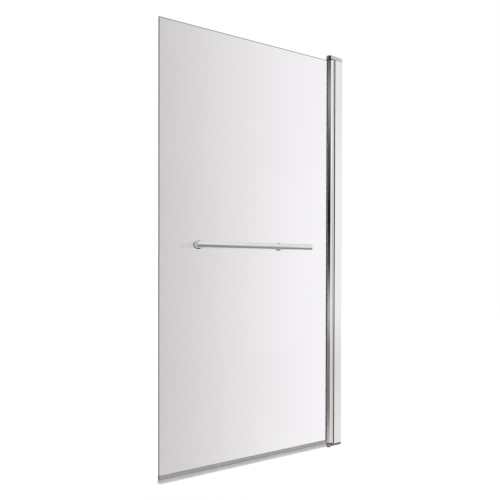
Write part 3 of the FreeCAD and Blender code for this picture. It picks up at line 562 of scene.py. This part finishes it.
def bright_aluminium(name, darkest, palest, smoothest, roughest):
    """Polished anodised aluminium: a clear mirror with the faint lines of the die along it."""
    material, tree, base = shader(name, Metallic=1.0)
    lines = lined(tree, base, (2600, 2600, 1.5), 0.03)
    marks = placed(tree, handling_group, (-500, 200), Size=9.0)
    colour = tinted(tree, lines.outputs["Shade"], darkest, palest, (0, 200))
    tree.links.new(colour, base.inputs["Base Color"])
    roughness = varied(tree, marks.outputs["Wiped"], smoothest, roughest, (0, 0))
    tree.links.new(roughness, base.inputs["Roughness"])
    return material


bright_profile = bright_aluminium("bright_aluminium", (0.86, 0.86, 0.865), (0.90, 0.90, 0.90),
                                  0.07, 0.10)

# Cutting tools reach past a piece by this much
past = 0.001
channel_low, channel_high = (np.array(corner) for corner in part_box("wall_channel"))
cover_low, cover_high = (np.array(corner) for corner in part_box("screw_covers"))
channel_wall = 0.002
wiper_low, wiper_high = (np.array(corner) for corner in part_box("wiper_rear"))
groove_gap = 0.00005
corner_radius = 0.0007
inner_radius = 0.0004
groove_radius = 0.0001

half = channel_high[1]
inside = half - channel_wall
back = channel_high[0] - channel_wall
groove_start = wiper_low[0] - groove_gap
groove_end = wiper_high[0] + groove_gap
groove_floor = wiper_high[1] + groove_gap
one_side = [
    (channel_low[0], half), (channel_high[0], half), (channel_high[0], -half),
    (channel_low[0], -half), (channel_low[0], -inside), (groove_start, -inside),
    (groove_start, -groove_floor), (groove_end, -groove_floor), (groove_end, -inside),
    (back, -inside), (back, inside), (groove_end, inside), (groove_end, groove_floor),
    (groove_start, groove_floor), (groove_start, inside), (channel_low[0], inside),
]
outer_corners = 4
radii = [corner_radius] * outer_corners + [inner_radius] * (len(one_side) - outer_corners)
radii[5:9] = radii[11:15] = [groove_radius] * 4
channel = carried("wall_channel_extrusion", [rounded(one_side[::-1], radii[::-1])],
                  channel_low[2], channel_high[2])

screw_levels = 3
cover_radius = (cover_high[0] - cover_low[0]) / 2
screw_place = (cover_high[0] + cover_low[0]) / 2
levels = np.linspace(cover_low[2] + cover_radius, cover_high[2] - cover_radius, screw_levels)
travel = max(joint["range_m"][1] for joint in frame["joints"] if joint["type"] == "slide")
slot_half = 0.0023
# Turns a tool that was carried upwards so that it runs along Y instead
quarter_turn = ((1, 0, 0, 0), (0, 0, -1, 0), (0, 1, 0, 0), (0, 0, 0, 1))
for level in levels:
    ends = [(screw_place - travel - slot_half, level - slot_half),
            (screw_place + slot_half, level - slot_half),
            (screw_place + slot_half, level + slot_half),
            (screw_place - travel - slot_half, level + slot_half)]
    slot = carried("slot", [rounded(ends, slot_half * 0.98, 12)], -half - past,
                   -inside + past, edge=0.0001)
    slot.data.transform(quarter_turn)
    worked(channel, slot)
wall_holes = 4
hole_spacing = 0.4
hole_radius = 0.00275
middle = (channel_low[2] + channel_high[2]) / 2
for step in range(wall_holes):
    level = middle + hole_spacing * (step - (wall_holes - 1) / 2)
    drill = carried("drill", [circle(hole_radius, (0, level), 40)], back - past,
                    channel_high[0] + past, "x", edge=0.0001)
    worked(channel, drill)
channel.data.materials.append(bright_profile)
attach(channel, "wall_side")
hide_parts("wall_channel")


# Wipers: two soft strips pressed into grooves in the channel's mouth, which rub on the post.

def mottled(name, size, darkest, palest, roughness_range, **settings):
    """A material whose colour and roughness follow the same soft marks, of a given size."""
    material, tree, base = shader(name, **settings)
    marks = placed(tree, handling_group, (-500, 200), Size=size)
    colour = tinted(tree, marks.outputs["Wiped"], darkest, palest, (0, 200))
    tree.links.new(colour, base.inputs["Base Color"])
    roughness = varied(tree, marks.outputs["Wiped"], *roughness_range)
    tree.links.new(roughness, base.inputs["Roughness"])
    return material, tree, base, marks


def black_rubber():
    """Black EPDM: matt, faintly ribbed along its length, with a slightly paler bloom."""
    material, tree, base, _ = mottled("black_rubber", 30.0, (0.012, 0.012, 0.013),
                                      (0.03, 0.03, 0.031), (0.42, 0.6), Specular_IOR_Level=0.4)
    lined(tree, base, (1500, 1500, 4), 0.3)
    return material


rubber = black_rubber()


def dressed(material, *names):
    """Give CAD nodes that keep their own shape a material."""
    for name in names:
        nodes[name].data.materials.clear()
        nodes[name].data.materials.append(material)


dressed(rubber, "wiper_front", "wiper_rear")


# Post: an aluminium extrusion that telescopes in the channel. Its hollow front is the seat of
# the round hinge profile, and a black strip in a seat along each side meets the channel's mouth.

dressed(bright_profile, "hinge_post")

seal_low, seal_high = (np.array(corner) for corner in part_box("post_seal_rear"))
seal_seat = 0.0017
tongue_step = 0.0008
tongue_width = 0.0012
for side, name in ((1, "post_seal_rear"), (-1, "post_seal_front")):
    seat = seal_high[1] - seal_seat
    tongue_start = seal_low[0] + tongue_step
    tongue_end = tongue_start + tongue_width
    corners = [(seal_low[0], seat), (seal_low[0], seal_high[1]), (seal_high[0], seal_high[1]),
               (seal_high[0], seat), (tongue_end, seat), (tongue_end, seal_low[1]),
               (tongue_start, seal_low[1]), (tongue_start, seat)]
    radii = [0, 0.0004, 0.0006, 0, 0, 0.0001, 0.0001, 0]
    outline = rounded(corners[::-1], radii[::-1])
    if side < 0:
        outline = outline[::-1] * (1, -1)
    strip = carried(name + "_strip", [outline], seal_low[2], seal_high[2], edge=0.0001)
    strip.data.materials.append(rubber)
    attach(strip, "post")
    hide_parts(name)


# Pivots: plated steel brackets screwed into the ends of the post, with a pin through each. The
# pins turn in black acetal bushes, whose collars cover the ends of the hinge profile.

def plated_steel():
    """Zinc-plated steel: a soft grey sheen with a fine mottle."""
    material, tree, base, marks = mottled("plated_steel", 160.0, (0.52, 0.53, 0.55),
                                          (0.66, 0.66, 0.66), (0.25, 0.4), Metallic=1.0)
    raised(tree, base, marks.outputs["Specks"], 0.1, 0.00005)
    return material


def white_nylon():
    """White nylon: slightly warm and waxy, with a fine moulded grain."""
    material, tree, base, marks = mottled("white_nylon", 220.0, (0.78, 0.78, 0.75),
                                          (0.83, 0.83, 0.81), (0.4, 0.5), Subsurface_Weight=0.1,
                                          Subsurface_Radius=(0.002, 0.002, 0.0015))
    raised(tree, base, marks.outputs["Wiped"], 0.1, 0.00005)
    return material


def black_acetal():
    """Black acetal: smooth and slightly waxy, with fine turning marks."""
    material, tree, base, _ = mottled("black_acetal", 120.0, (0.010, 0.010, 0.011),
                                      (0.02, 0.02, 0.021), (0.35, 0.5), Specular_IOR_Level=0.35)
    lined(tree, base, (60, 60, 2500), 0.2)
    return material


steel = plated_steel()
nylon = white_nylon()
acetal = black_acetal()
dressed(steel, "top_bracket", "bottom_bracket", "top_pin", "bottom_pin", "bracket_screws")
dressed(acetal, "thrust_washer")

pin_bore = 0.00255
sleeve_radius = 0.00345
collar_thick = 0.0025
for name, upwards in (("top_bush", -1), ("bottom_bush", 1)):
    bush_low, bush_high = (np.array(corner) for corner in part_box(name))
    collar_radius = bush_high[0]
    length = bush_high[2] - bush_low[2]
    face = bush_low[2] if upwards > 0 else bush_high[2]
    profile = rounded([(pin_bore, 0), (collar_radius, 0), (collar_radius, collar_thick),
                       (sleeve_radius, collar_thick), (sleeve_radius, length), (pin_bore, length)],
                      [0.0002, 0.0004, 0.0002, 0.0002, 0.0002, 0.0002])
    bush = turned(name + "_turning", profile, (0, 0, face), (0, 0, upwards))
    bush.data.materials.append(acetal)
    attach(bush, "screen")
    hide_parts(name)


# Caps: chromed shells that hide the brackets. Their chrome is a darker copy of the rail's, as
# painted shade that dims their reflections, the foot's most. The top one has a round nose and
# falls towards the wall. The bottom one stands on the rim with a small round nose, and its square
# part is just clear of the rim.

def chrome_plate(name, shade):
    """Chrome on a polished base: a faintly uneven mirror, as pale as shade, with wiped marks.
    Levels well below the rail's 0.84 are painted shade.
    """
    darkest = (0.95 * shade, 0.95 * shade, 0.96 * shade)
    material, tree, base, marks = mottled(name, 24.0, darkest, (shade, shade, shade),
                                          (0.03, 0.07), Metallic=1.0)
    raised(tree, base, marks.outputs["Wiped"], 0.03, 0.0001)
    return material


chrome = chrome_plate("chrome_plate", 0.84)
# The caps' and the foot's chrome are darker copies of the rail's: painted shade
cap_chrome_painted_shade = chrome_plate("cap_chrome_painted_shade", 0.62)
foot_chrome_painted_shade = chrome_plate("foot_chrome_painted_shade", 0.42)
cap_low, cap_high = (np.array(corner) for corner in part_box("top_cap"))
cap_fall = 0.0045
cap_rounding = 0.0062
cap_wall = 0.0018
wall_plane = cap_high[0]
cap_half = cap_high[1]
cap_peak = 1.435


def cap_plan(depth, end, sides=48, corner=0.0006):
    """Plan of the cap: a half circle round the hinge axis, then straight sides to the wall.

    depth insets the nose and the sides, and end is where the plan stops at the wall.
    """
    reach = cap_half - depth
    angle = np.linspace(np.pi / 2, 3 * np.pi / 2, sides)
    nose = np.stack([np.cos(angle), np.sin(angle)], axis=1) * reach
    wall = rounded([(0, -reach), (end, -reach), (end, reach), (0, reach)],
                   [0, corner, corner, 0])
    on_wall = wall[:, 0] > end - corner * 1.01
    return np.concatenate([nose, wall[on_wall]])


def fall_at(x):
    """Height of the sloping top: a straight fall from the tip of the nose to the wall."""
    return cap_peak - cap_fall * (x + cap_half) / (wall_plane + cap_half)


def stacked(name, rings, angle=35):
    """A closed skin through rings of points, from the lowest up, with a face over each end.

    Point i of ring k joins point i of ring k + 1, and all rings have as many points.
    """
    count = len(rings[0])
    corner = np.arange(count)
    following = (corner + 1) % count
    faces = [tuple(corner[::-1]), tuple(corner + (len(rings) - 1) * count)]
    for step in range(len(rings) - 1):
        lower = step * count
        upper = lower + count
        faces += np.stack([lower + corner, lower + following, upper + following,
                           upper + corner], axis=1).tolist()
    return finished(surface(name, np.concatenate(rings), faces), angle)


plan = cap_plan(0, wall_plane)
rings = [np.column_stack([plan, np.full(len(plan), cap_low[2])])]
for turn in np.linspace(0, np.pi / 2, 9):
    plan = cap_plan(cap_rounding * (1 - np.cos(turn)), wall_plane)
    drop = cap_rounding * (1 - np.sin(turn))
    rings.append(np.column_stack([plan, fall_at(plan[:, 0]) - drop]))
top_cap = stacked("top_cap_shell", rings)
ceiling = cap_peak - cap_fall - cap_wall
worked(top_cap, carried("hollow", [cap_plan(cap_wall, wall_plane - cap_wall)],
                        cap_low[2] - past, ceiling))
# The nose stops above the swinging profile, level with the tops of the post's strips
nose_level = seal_high[2]
reach = cap_half + past
under_nose = np.array([(-reach, -reach), (channel_low[0], -reach), (channel_low[0], reach),
                       (-reach, reach)])
worked(top_cap, carried("under_nose", [under_nose], cap_low[2] - past, nose_level, edge=0.0001))
# The cap's darker chrome is painted shade
top_cap.data.materials.append(cap_chrome_painted_shade)
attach(top_cap, "post")
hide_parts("top_cap")

foot_low, foot_high = (np.array(corner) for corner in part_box("bottom_cap"))
foot_nose = -foot_low[0]
foot_start = 0.006
foot_lift = 0.005
foot_draft = 0.0012
foot_skirt = 0.0062
nose_profile = rounded([(0, foot_low[2]), (foot_nose, foot_low[2]), (foot_nose, foot_high[2]),
                        (0, foot_high[2])], [0, 0.003, 0.0003, 0], 8)
bottom_cap = turned("bottom_cap_shell", nose_profile, (0, 0, 0), (0, 0, 1))


def foot_block():
    """The square part: a plain band at the top, and a skirt below it that draws in downwards.

    Its plan is a rounded rectangle. At height z in the skirt it is inset by
    foot_draft * (1 - z / foot_skirt), and the top edge is broken by a small chamfer.
    """
    plan = rounded([(foot_start, -cap_half), (wall_plane, -cap_half), (wall_plane, cap_half),
                    (foot_start, cap_half)], [0.001, 0.0006, 0.0006, 0.001])
    start = foot_low[2] + foot_lift
    chamfer = 0.0003
    rings = []
    for rise, depth in ((0, foot_draft), (foot_skirt, 0), (foot_high[2] - start - chamfer, 0),
                        (foot_high[2] - start, chamfer)):
        across = np.clip(plan[:, 0], foot_start + depth, wall_plane)
        along = np.clip(plan[:, 1], -cap_half + depth, cap_half - depth)
        rings.append(np.column_stack([across, along, np.full(len(plan), start + rise)]))
    return stacked("block", rings, 20)


worked(bottom_cap, foot_block(), "UNION")
room_floor = foot_low[2] + foot_lift + cap_wall
nose_room = foot_nose - cap_wall
neck_half = 0.0072
block_room = [(0, -neck_half), (foot_start + cap_wall, -neck_half),
              (foot_start + cap_wall, -cap_half + cap_wall),
              (wall_plane - cap_wall, -cap_half + cap_wall),
              (wall_plane - cap_wall, cap_half - cap_wall),
              (foot_start + cap_wall, cap_half - cap_wall),
              (foot_start + cap_wall, neck_half), (0, neck_half)]
for room in (np.array(block_room), circle(nose_room)):
    worked(bottom_cap, carried("room", [room], room_floor, foot_high[2] + past, edge=0.0001))
# The foot's still darker chrome is painted shade
bottom_cap.data.materials.append(foot_chrome_painted_shade)
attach(bottom_cap, "post")
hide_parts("bottom_cap")


# Adjusting screws: steel screws and washers in the slots on the bath side, under chromed covers
# that snap over them.

dressed(steel, "adjusting_screws", "plain_washers")

cover_face = cover_high[1]
cover_wall = 0.0009
cover_room = 0.0039
cover_slope = cover_wall * 1.5
cover_tall = cover_face - half
for number, level in enumerate(levels, start=1):
    profile = rounded([(0, cover_room), (cover_radius - cover_wall, cover_room),
                       (cover_radius - cover_wall, 0), (cover_radius, 0),
                       (cover_radius, cover_tall - cover_slope),
                       (cover_radius - cover_slope, cover_tall), (0, cover_tall)],
                      [0, 0.0003, 0.0001, 0.0002, 0.0006, 0.0006, 0])
    cover = turned("screw_cover_%d" % number, profile, (screw_place, half, level), (0, 1, 0), 64)
    cover.data.materials.append(chrome)
    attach(cover, "post")
    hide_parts("screw_covers")


# Hinge profile: a round aluminium extrusion on the hinge axis. Two lips reach out from it and
# grip the glass, and its bore takes the bushes and pins at both ends.

barrel_low, barrel_high = (np.array(corner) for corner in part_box("hinge_profile"))
barrel_radius = barrel_high[0]
lip_reach = -barrel_low[0]
lip_half = 0.0058
slot_wall = 0.0042
slot_floor = 0.0045
bore_radius = 0.0035
# The lips' outer flats leave the barrel this many degrees round from the wall side, so that they
# clear the tips of the post when the screen stands at a right angle
lip_meets = np.radians(138)
arc = np.linspace(-lip_meets, lip_meets, 121)
barrel = np.stack([np.cos(arc), np.sin(arc)], axis=1) * barrel_radius
lips = [(-lip_reach, lip_half), (-lip_reach, slot_wall), (-slot_floor, slot_wall),
        (-slot_floor, -slot_wall), (-lip_reach, -slot_wall), (-lip_reach, -lip_half)]
radii = [0] * len(barrel) + [0.001, 0.0005, 0.0003, 0.0003, 0.0005, 0.001]
outline = rounded(np.concatenate([barrel, lips]), radii)
hinge = carried("hinge_profile_extrusion", [outline, circle(bore_radius, sides=48)],
                barrel_low[2], barrel_high[2])
hinge.data.materials.append(bright_aluminium("brightest_aluminium", (0.93, 0.925, 0.93),
                                             (0.96, 0.955, 0.96), 0.025, 0.04))
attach(hinge, "screen")
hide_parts("hinge_profile")


# Glazing: a clear PVC gasket along each face of the glass, with a bead over the lip, and three
# nylon packers behind its edge.

def clear_pvc():
    """Clear PVC gone slightly milky: it lets light through and scatters it a little."""
    material, tree, base, _ = mottled("clear_pvc", 60.0, (0.42, 0.42, 0.43), (0.50, 0.50, 0.50),
                                      (0.2, 0.35), IOR=1.53, Transmission_Weight=0.55)
    lined(tree, base, (1800, 1800, 3), 0.2)
    return material


pvc = clear_pvc()
gasket_low, gasket_high = (np.array(corner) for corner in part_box("gasket_rear"))
for side, name in ((1, "gasket_rear"), (-1, "gasket_front")):
    bead = gasket_high[1] - slot_wall
    corners = [(gasket_high[0], gasket_low[1]), (gasket_high[0], slot_wall),
               (-lip_reach, slot_wall), (-lip_reach, gasket_high[1]),
               (gasket_low[0], gasket_high[1] - bead / 2), (gasket_low[0], gasket_low[1])]
    outline = rounded(corners, [0, 0.0001, 0, 0.0003, 0.0004, 0.0001])
    if side < 0:
        outline = outline[::-1] * (1, -1)
    strip = carried(name + "_strip", [outline], gasket_low[2], gasket_high[2], edge=0.0001)
    strip.data.materials.append(pvc)
    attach(strip, "screen")
    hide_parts(name)
dressed(nylon, "glass_packers")


# Glass: one pane of 6 mm toughened float glass with ground arrises and two drilled holes. It is
# clear through its faces and greenish grey through its edges.

glass_low, glass_high = (np.array(corner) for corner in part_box("glass_panel"))


def float_glass():
    """Clear glass whose ground edges are frosted and darker.

    The edges are found by position: a point nearer to the free edge than arris, or to the top or
    bottom edge than ground_depth, belongs to a ground edge.
    """
    material, tree, base = shader("float_glass", IOR=1.52, Transmission_Weight=1.0)
    link = tree.links.new
    position = node(tree, "ShaderNodeTexCoord", (-1100, 200))
    split = node(tree, "ShaderNodeSeparateXYZ", (-900, 200))
    link(position.outputs["Object"], split.inputs[0])
    arris = 0.0007
    ground_depth = 0.0012
    upright = node(tree, "ShaderNodeMath", (-700, 200), operation="LESS_THAN")
    upright.inputs[1].default_value = glass_low[0] + arris
    link(split.outputs["X"], upright.inputs[0])
    upper = node(tree, "ShaderNodeMath", (-700, 50), operation="GREATER_THAN")
    upper.inputs[1].default_value = glass_high[2] - ground_depth
    link(split.outputs["Z"], upper.inputs[0])
    lower = node(tree, "ShaderNodeMath", (-700, -100), operation="LESS_THAN")
    lower.inputs[1].default_value = glass_low[2] + ground_depth
    link(split.outputs["Z"], lower.inputs[0])
    level = node(tree, "ShaderNodeMath", (-450, 0), operation="MAXIMUM")
    link(upper.outputs[0], level.inputs[0])
    link(lower.outputs[0], level.inputs[1])
    either = node(tree, "ShaderNodeMath", (-300, 100), operation="MAXIMUM")
    link(upright.outputs[0], either.inputs[0])
    link(level.outputs[0], either.inputs[1])
    marks = placed(tree, handling_group, (-500, -250), Size=3.0)
    face = tinted(tree, marks.outputs["Wiped"], (0.965, 0.972, 0.968), (0.975, 0.98, 0.978),
                  (-200, 300))
    ground = tinted(tree, level.outputs[0], (0.42, 0.50, 0.46), (0.10, 0.13, 0.12), (-100, 100))
    mixed = node(tree, "ShaderNodeMix", (50, 200), data_type="RGBA")
    link(either.outputs[0], mixed.inputs["Factor"])
    link(face, mixed.inputs["A"])
    link(ground, mixed.inputs["B"])
    link(mixed.outputs["Result"], base.inputs["Base Color"])
    roughness = varied(tree, either.outputs[0], 0.0, 0.3, (50, -50))
    link(roughness, base.inputs["Roughness"])
    return material


dressed(float_glass(), "glass_panel")


# Drip seal: a stiff clear clip pushed onto the bottom edge of the glass, and a soft strip on its
# stem whose two fins throw the water back into the bath.

def seal_plastic(name, dark, light, see_through, roughness_range):
    """Extruded clear plastic: smoky where it is thick, with the lines of the die along it."""
    material, tree, base, _ = mottled(name, 40.0, dark, light, roughness_range, IOR=1.5,
                                      Transmission_Weight=see_through)
    lined(tree, base, (2, 2200, 2200), 0.25)
    return material


def both_sides(corners, radii):
    """Corners on one side and their mirror images, as one closed outline."""
    corners = np.asarray(corners, float)
    whole = np.concatenate([corners, corners[::-1] * (-1, 1)])
    return rounded(whole[::-1], (list(radii) + list(radii)[::-1])[::-1], 4)


clip_low, clip_high = (np.array(corner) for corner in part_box("seal_clip"))
clip_wall = 0.00125
clip_floor = 0.0013
stem_half = 0.0009
barb_half = 0.0019
barb_height = 0.0014
clip_outer = clip_high[1]
clip_bottom = glass_low[2] - clip_floor
clip_outline = both_sides([
    (clip_outer - clip_wall, glass_low[2]), (clip_outer - clip_wall, clip_high[2]),
    (clip_outer, clip_high[2]), (clip_outer, clip_bottom), (stem_half, clip_bottom),
    (stem_half, clip_low[2] + barb_height), (barb_half, clip_low[2] + barb_height),
    (barb_half, clip_low[2])], [0.0002, 0.0005, 0.0005, 0.0005, 0, 0, 0.0002, 0.0003])
clip = carried("seal_clip_extrusion", [clip_outline], clip_low[0], clip_high[0], "x",
               edge=0.0001)
clip.data.materials.append(seal_plastic("clip_plastic", (0.64, 0.63, 0.64), (0.70, 0.69, 0.70),
                                        0.6, (0.12, 0.2)))
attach(clip, "screen")
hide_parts("seal_clip")

fins_low, fins_high = (np.array(corner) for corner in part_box("seal_fins"))
stem_gap = 0.0001
fin_block = 0.0016
fin_thick = 0.0011
block_bottom = clip_low[2] - fin_block
fins_outline = both_sides([
    (barb_half + stem_gap, clip_low[2] - stem_gap),
    (barb_half + stem_gap, clip_low[2] + barb_height + stem_gap),
    (stem_half + stem_gap, clip_low[2] + barb_height + stem_gap),
    (stem_half + stem_gap, clip_bottom), (clip_outer, clip_bottom),
    (clip_outer, block_bottom + fin_thick * 2), (fins_high[1], fins_low[2]),
    (fins_high[1] - fin_thick, fins_low[2]), (clip_outer - fin_thick, block_bottom)],
    [0, 0, 0, 0, 0.0002, 0.0015, 0.0004, 0.0004, 0.001])
fins = carried("seal_fins_extrusion", [fins_outline], fins_low[0], fins_high[0], "x",
               edge=0.0001)
fins.data.materials.append(seal_plastic("fin_plastic", (0.80, 0.79, 0.80), (0.86, 0.85, 0.86),
                                        0.5, (0.3, 0.4)))
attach(fins, "screen")
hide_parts("seal_fins")


# Towel rail: a chromed brass tube with a turned plug in each end. It lies in the saddles of two
# stand-offs, which are bolted through the glass between soft washers, with a flange in front of
# the glass and a bright disc behind it. The stand-offs and flanges are in near-black chrome, which
# paints in the shade under the rail.

tube_low, tube_high = (np.array(corner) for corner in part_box("rail_tube"))
rail_radius = (tube_high[1] - tube_low[1]) / 2
rail_wall = 0.0012
rail_y = (tube_high[1] + tube_low[1]) / 2
rail_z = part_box("rail_cap_far")[0][2] + rail_radius
tube = carried("rail_tube_skin", [circle(rail_radius, (rail_y, rail_z)),
                                  circle(rail_radius - rail_wall, (rail_y, rail_z))],
               tube_low[0], tube_high[0], "x", edge=0.0001)
tube.data.materials.append(chrome)
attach(tube, "screen")
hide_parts("rail_tube")

plug_length = 0.008
plug_lip = 0.0025
plug_gap = 0.00005
plug_radius = rail_radius - rail_wall - plug_gap
plug_profile = rounded([(0, -plug_length), (plug_radius, -plug_length), (plug_radius, 0),
                        (rail_radius, 0), (rail_radius, plug_lip), (0, plug_lip)],
                       [0, 0.0004, 0, 0.0001, 0.0008, 0], 8)
for name, end, outwards in (("rail_cap_far", tube_low[0], -1), ("rail_cap_near", tube_high[0], 1)):
    plug = turned(name + "_plug", plug_profile, (end, rail_y, rail_z), (outwards, 0, 0))
    plug.data.materials.append(chrome)
    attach(plug, "screen")
    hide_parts(name)

# Near-black chrome for the stand-offs and flanges: painted shade under the rail
black_chrome_painted_shade = chrome_plate("black_chrome_painted_shade", 0.05)
stand_radius = 0.008
saddle_back = 0.0035
saddle_gap = 0.00005
flange_gap = 0.00005
flange_bore = stand_radius + flange_gap
bolt_hole = 0.0031
well = 0.0055
well_depth = 0.0035
for side in ("far", "near"):
    stand_low, stand_high = (np.array(corner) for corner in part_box("rail_post_" + side))
    flange_low, flange_high = (np.array(corner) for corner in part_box("rail_flange_" + side))
    disc_low, disc_high = (np.array(corner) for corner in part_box("rear_disc_" + side))
    stand_x = (stand_low[0] + stand_high[0]) / 2
    head_radius = (stand_high[0] - stand_low[0]) / 2
    foot = -stand_high[1]
    head_start = -rail_y - rail_radius - saddle_back
    rim = -stand_low[1]
    profile = rounded([(0, foot), (stand_radius, foot), (stand_radius, head_start),
                       (head_radius, head_start), (head_radius, rim), (0, rim)],
                      [0, 0.0002, 0.0006, 0.0012, 0.0003, 0], 8)
    stand = turned("rail_post_%s_turning" % side, profile, (stand_x, 0, rail_z), (0, -1, 0))
    saddle = carried("saddle", [circle(rail_radius + saddle_gap, (rail_y, rail_z))],
                     stand_low[0] - past, stand_high[0] + past, "x")
    worked(stand, saddle)
    # The stand-off's near-black chrome is painted shade under the rail
    stand.data.materials.append(black_chrome_painted_shade)
    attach(stand, "screen")
    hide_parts("rail_post_" + side)

    flange_radius = (flange_high[0] - flange_low[0]) / 2
    profile = rounded([(flange_bore, -flange_high[1]), (flange_radius, -flange_high[1]),
                       (flange_radius, -flange_low[1]), (flange_bore, -flange_low[1])],
                      [0.0001, 0.0002, 0.0008, 0.0002], 8)
    flange = turned("rail_flange_%s_turning" % side, profile, (stand_x, 0, rail_z), (0, -1, 0))
    # The flange's near-black chrome is painted shade under the rail
    flange.data.materials.append(black_chrome_painted_shade)
    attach(flange, "screen")
    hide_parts("rail_flange_" + side)

    disc_radius = (disc_high[0] - disc_low[0]) / 2
    well_floor = disc_high[1] - well_depth
    profile = rounded([(bolt_hole, disc_low[1]), (disc_radius, disc_low[1]),
                       (disc_radius, disc_high[1]), (well, disc_high[1]), (well, well_floor),
                       (bolt_hole, well_floor)],
                      [0.0001, 0.0002, 0.0008, 0.0002, 0.0001, 0.0001], 8)
    disc = turned("rear_disc_%s_turning" % side, profile, (stand_x, 0, rail_z), (0, 1, 0))
    disc.data.materials.append(bright_profile)
    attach(disc, "screen")
    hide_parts("rear_disc_" + side)

dressed(pvc, "front_washers", "rear_washers")
dressed(nylon, "glass_bushes")
dressed(steel, "rail_bolts")
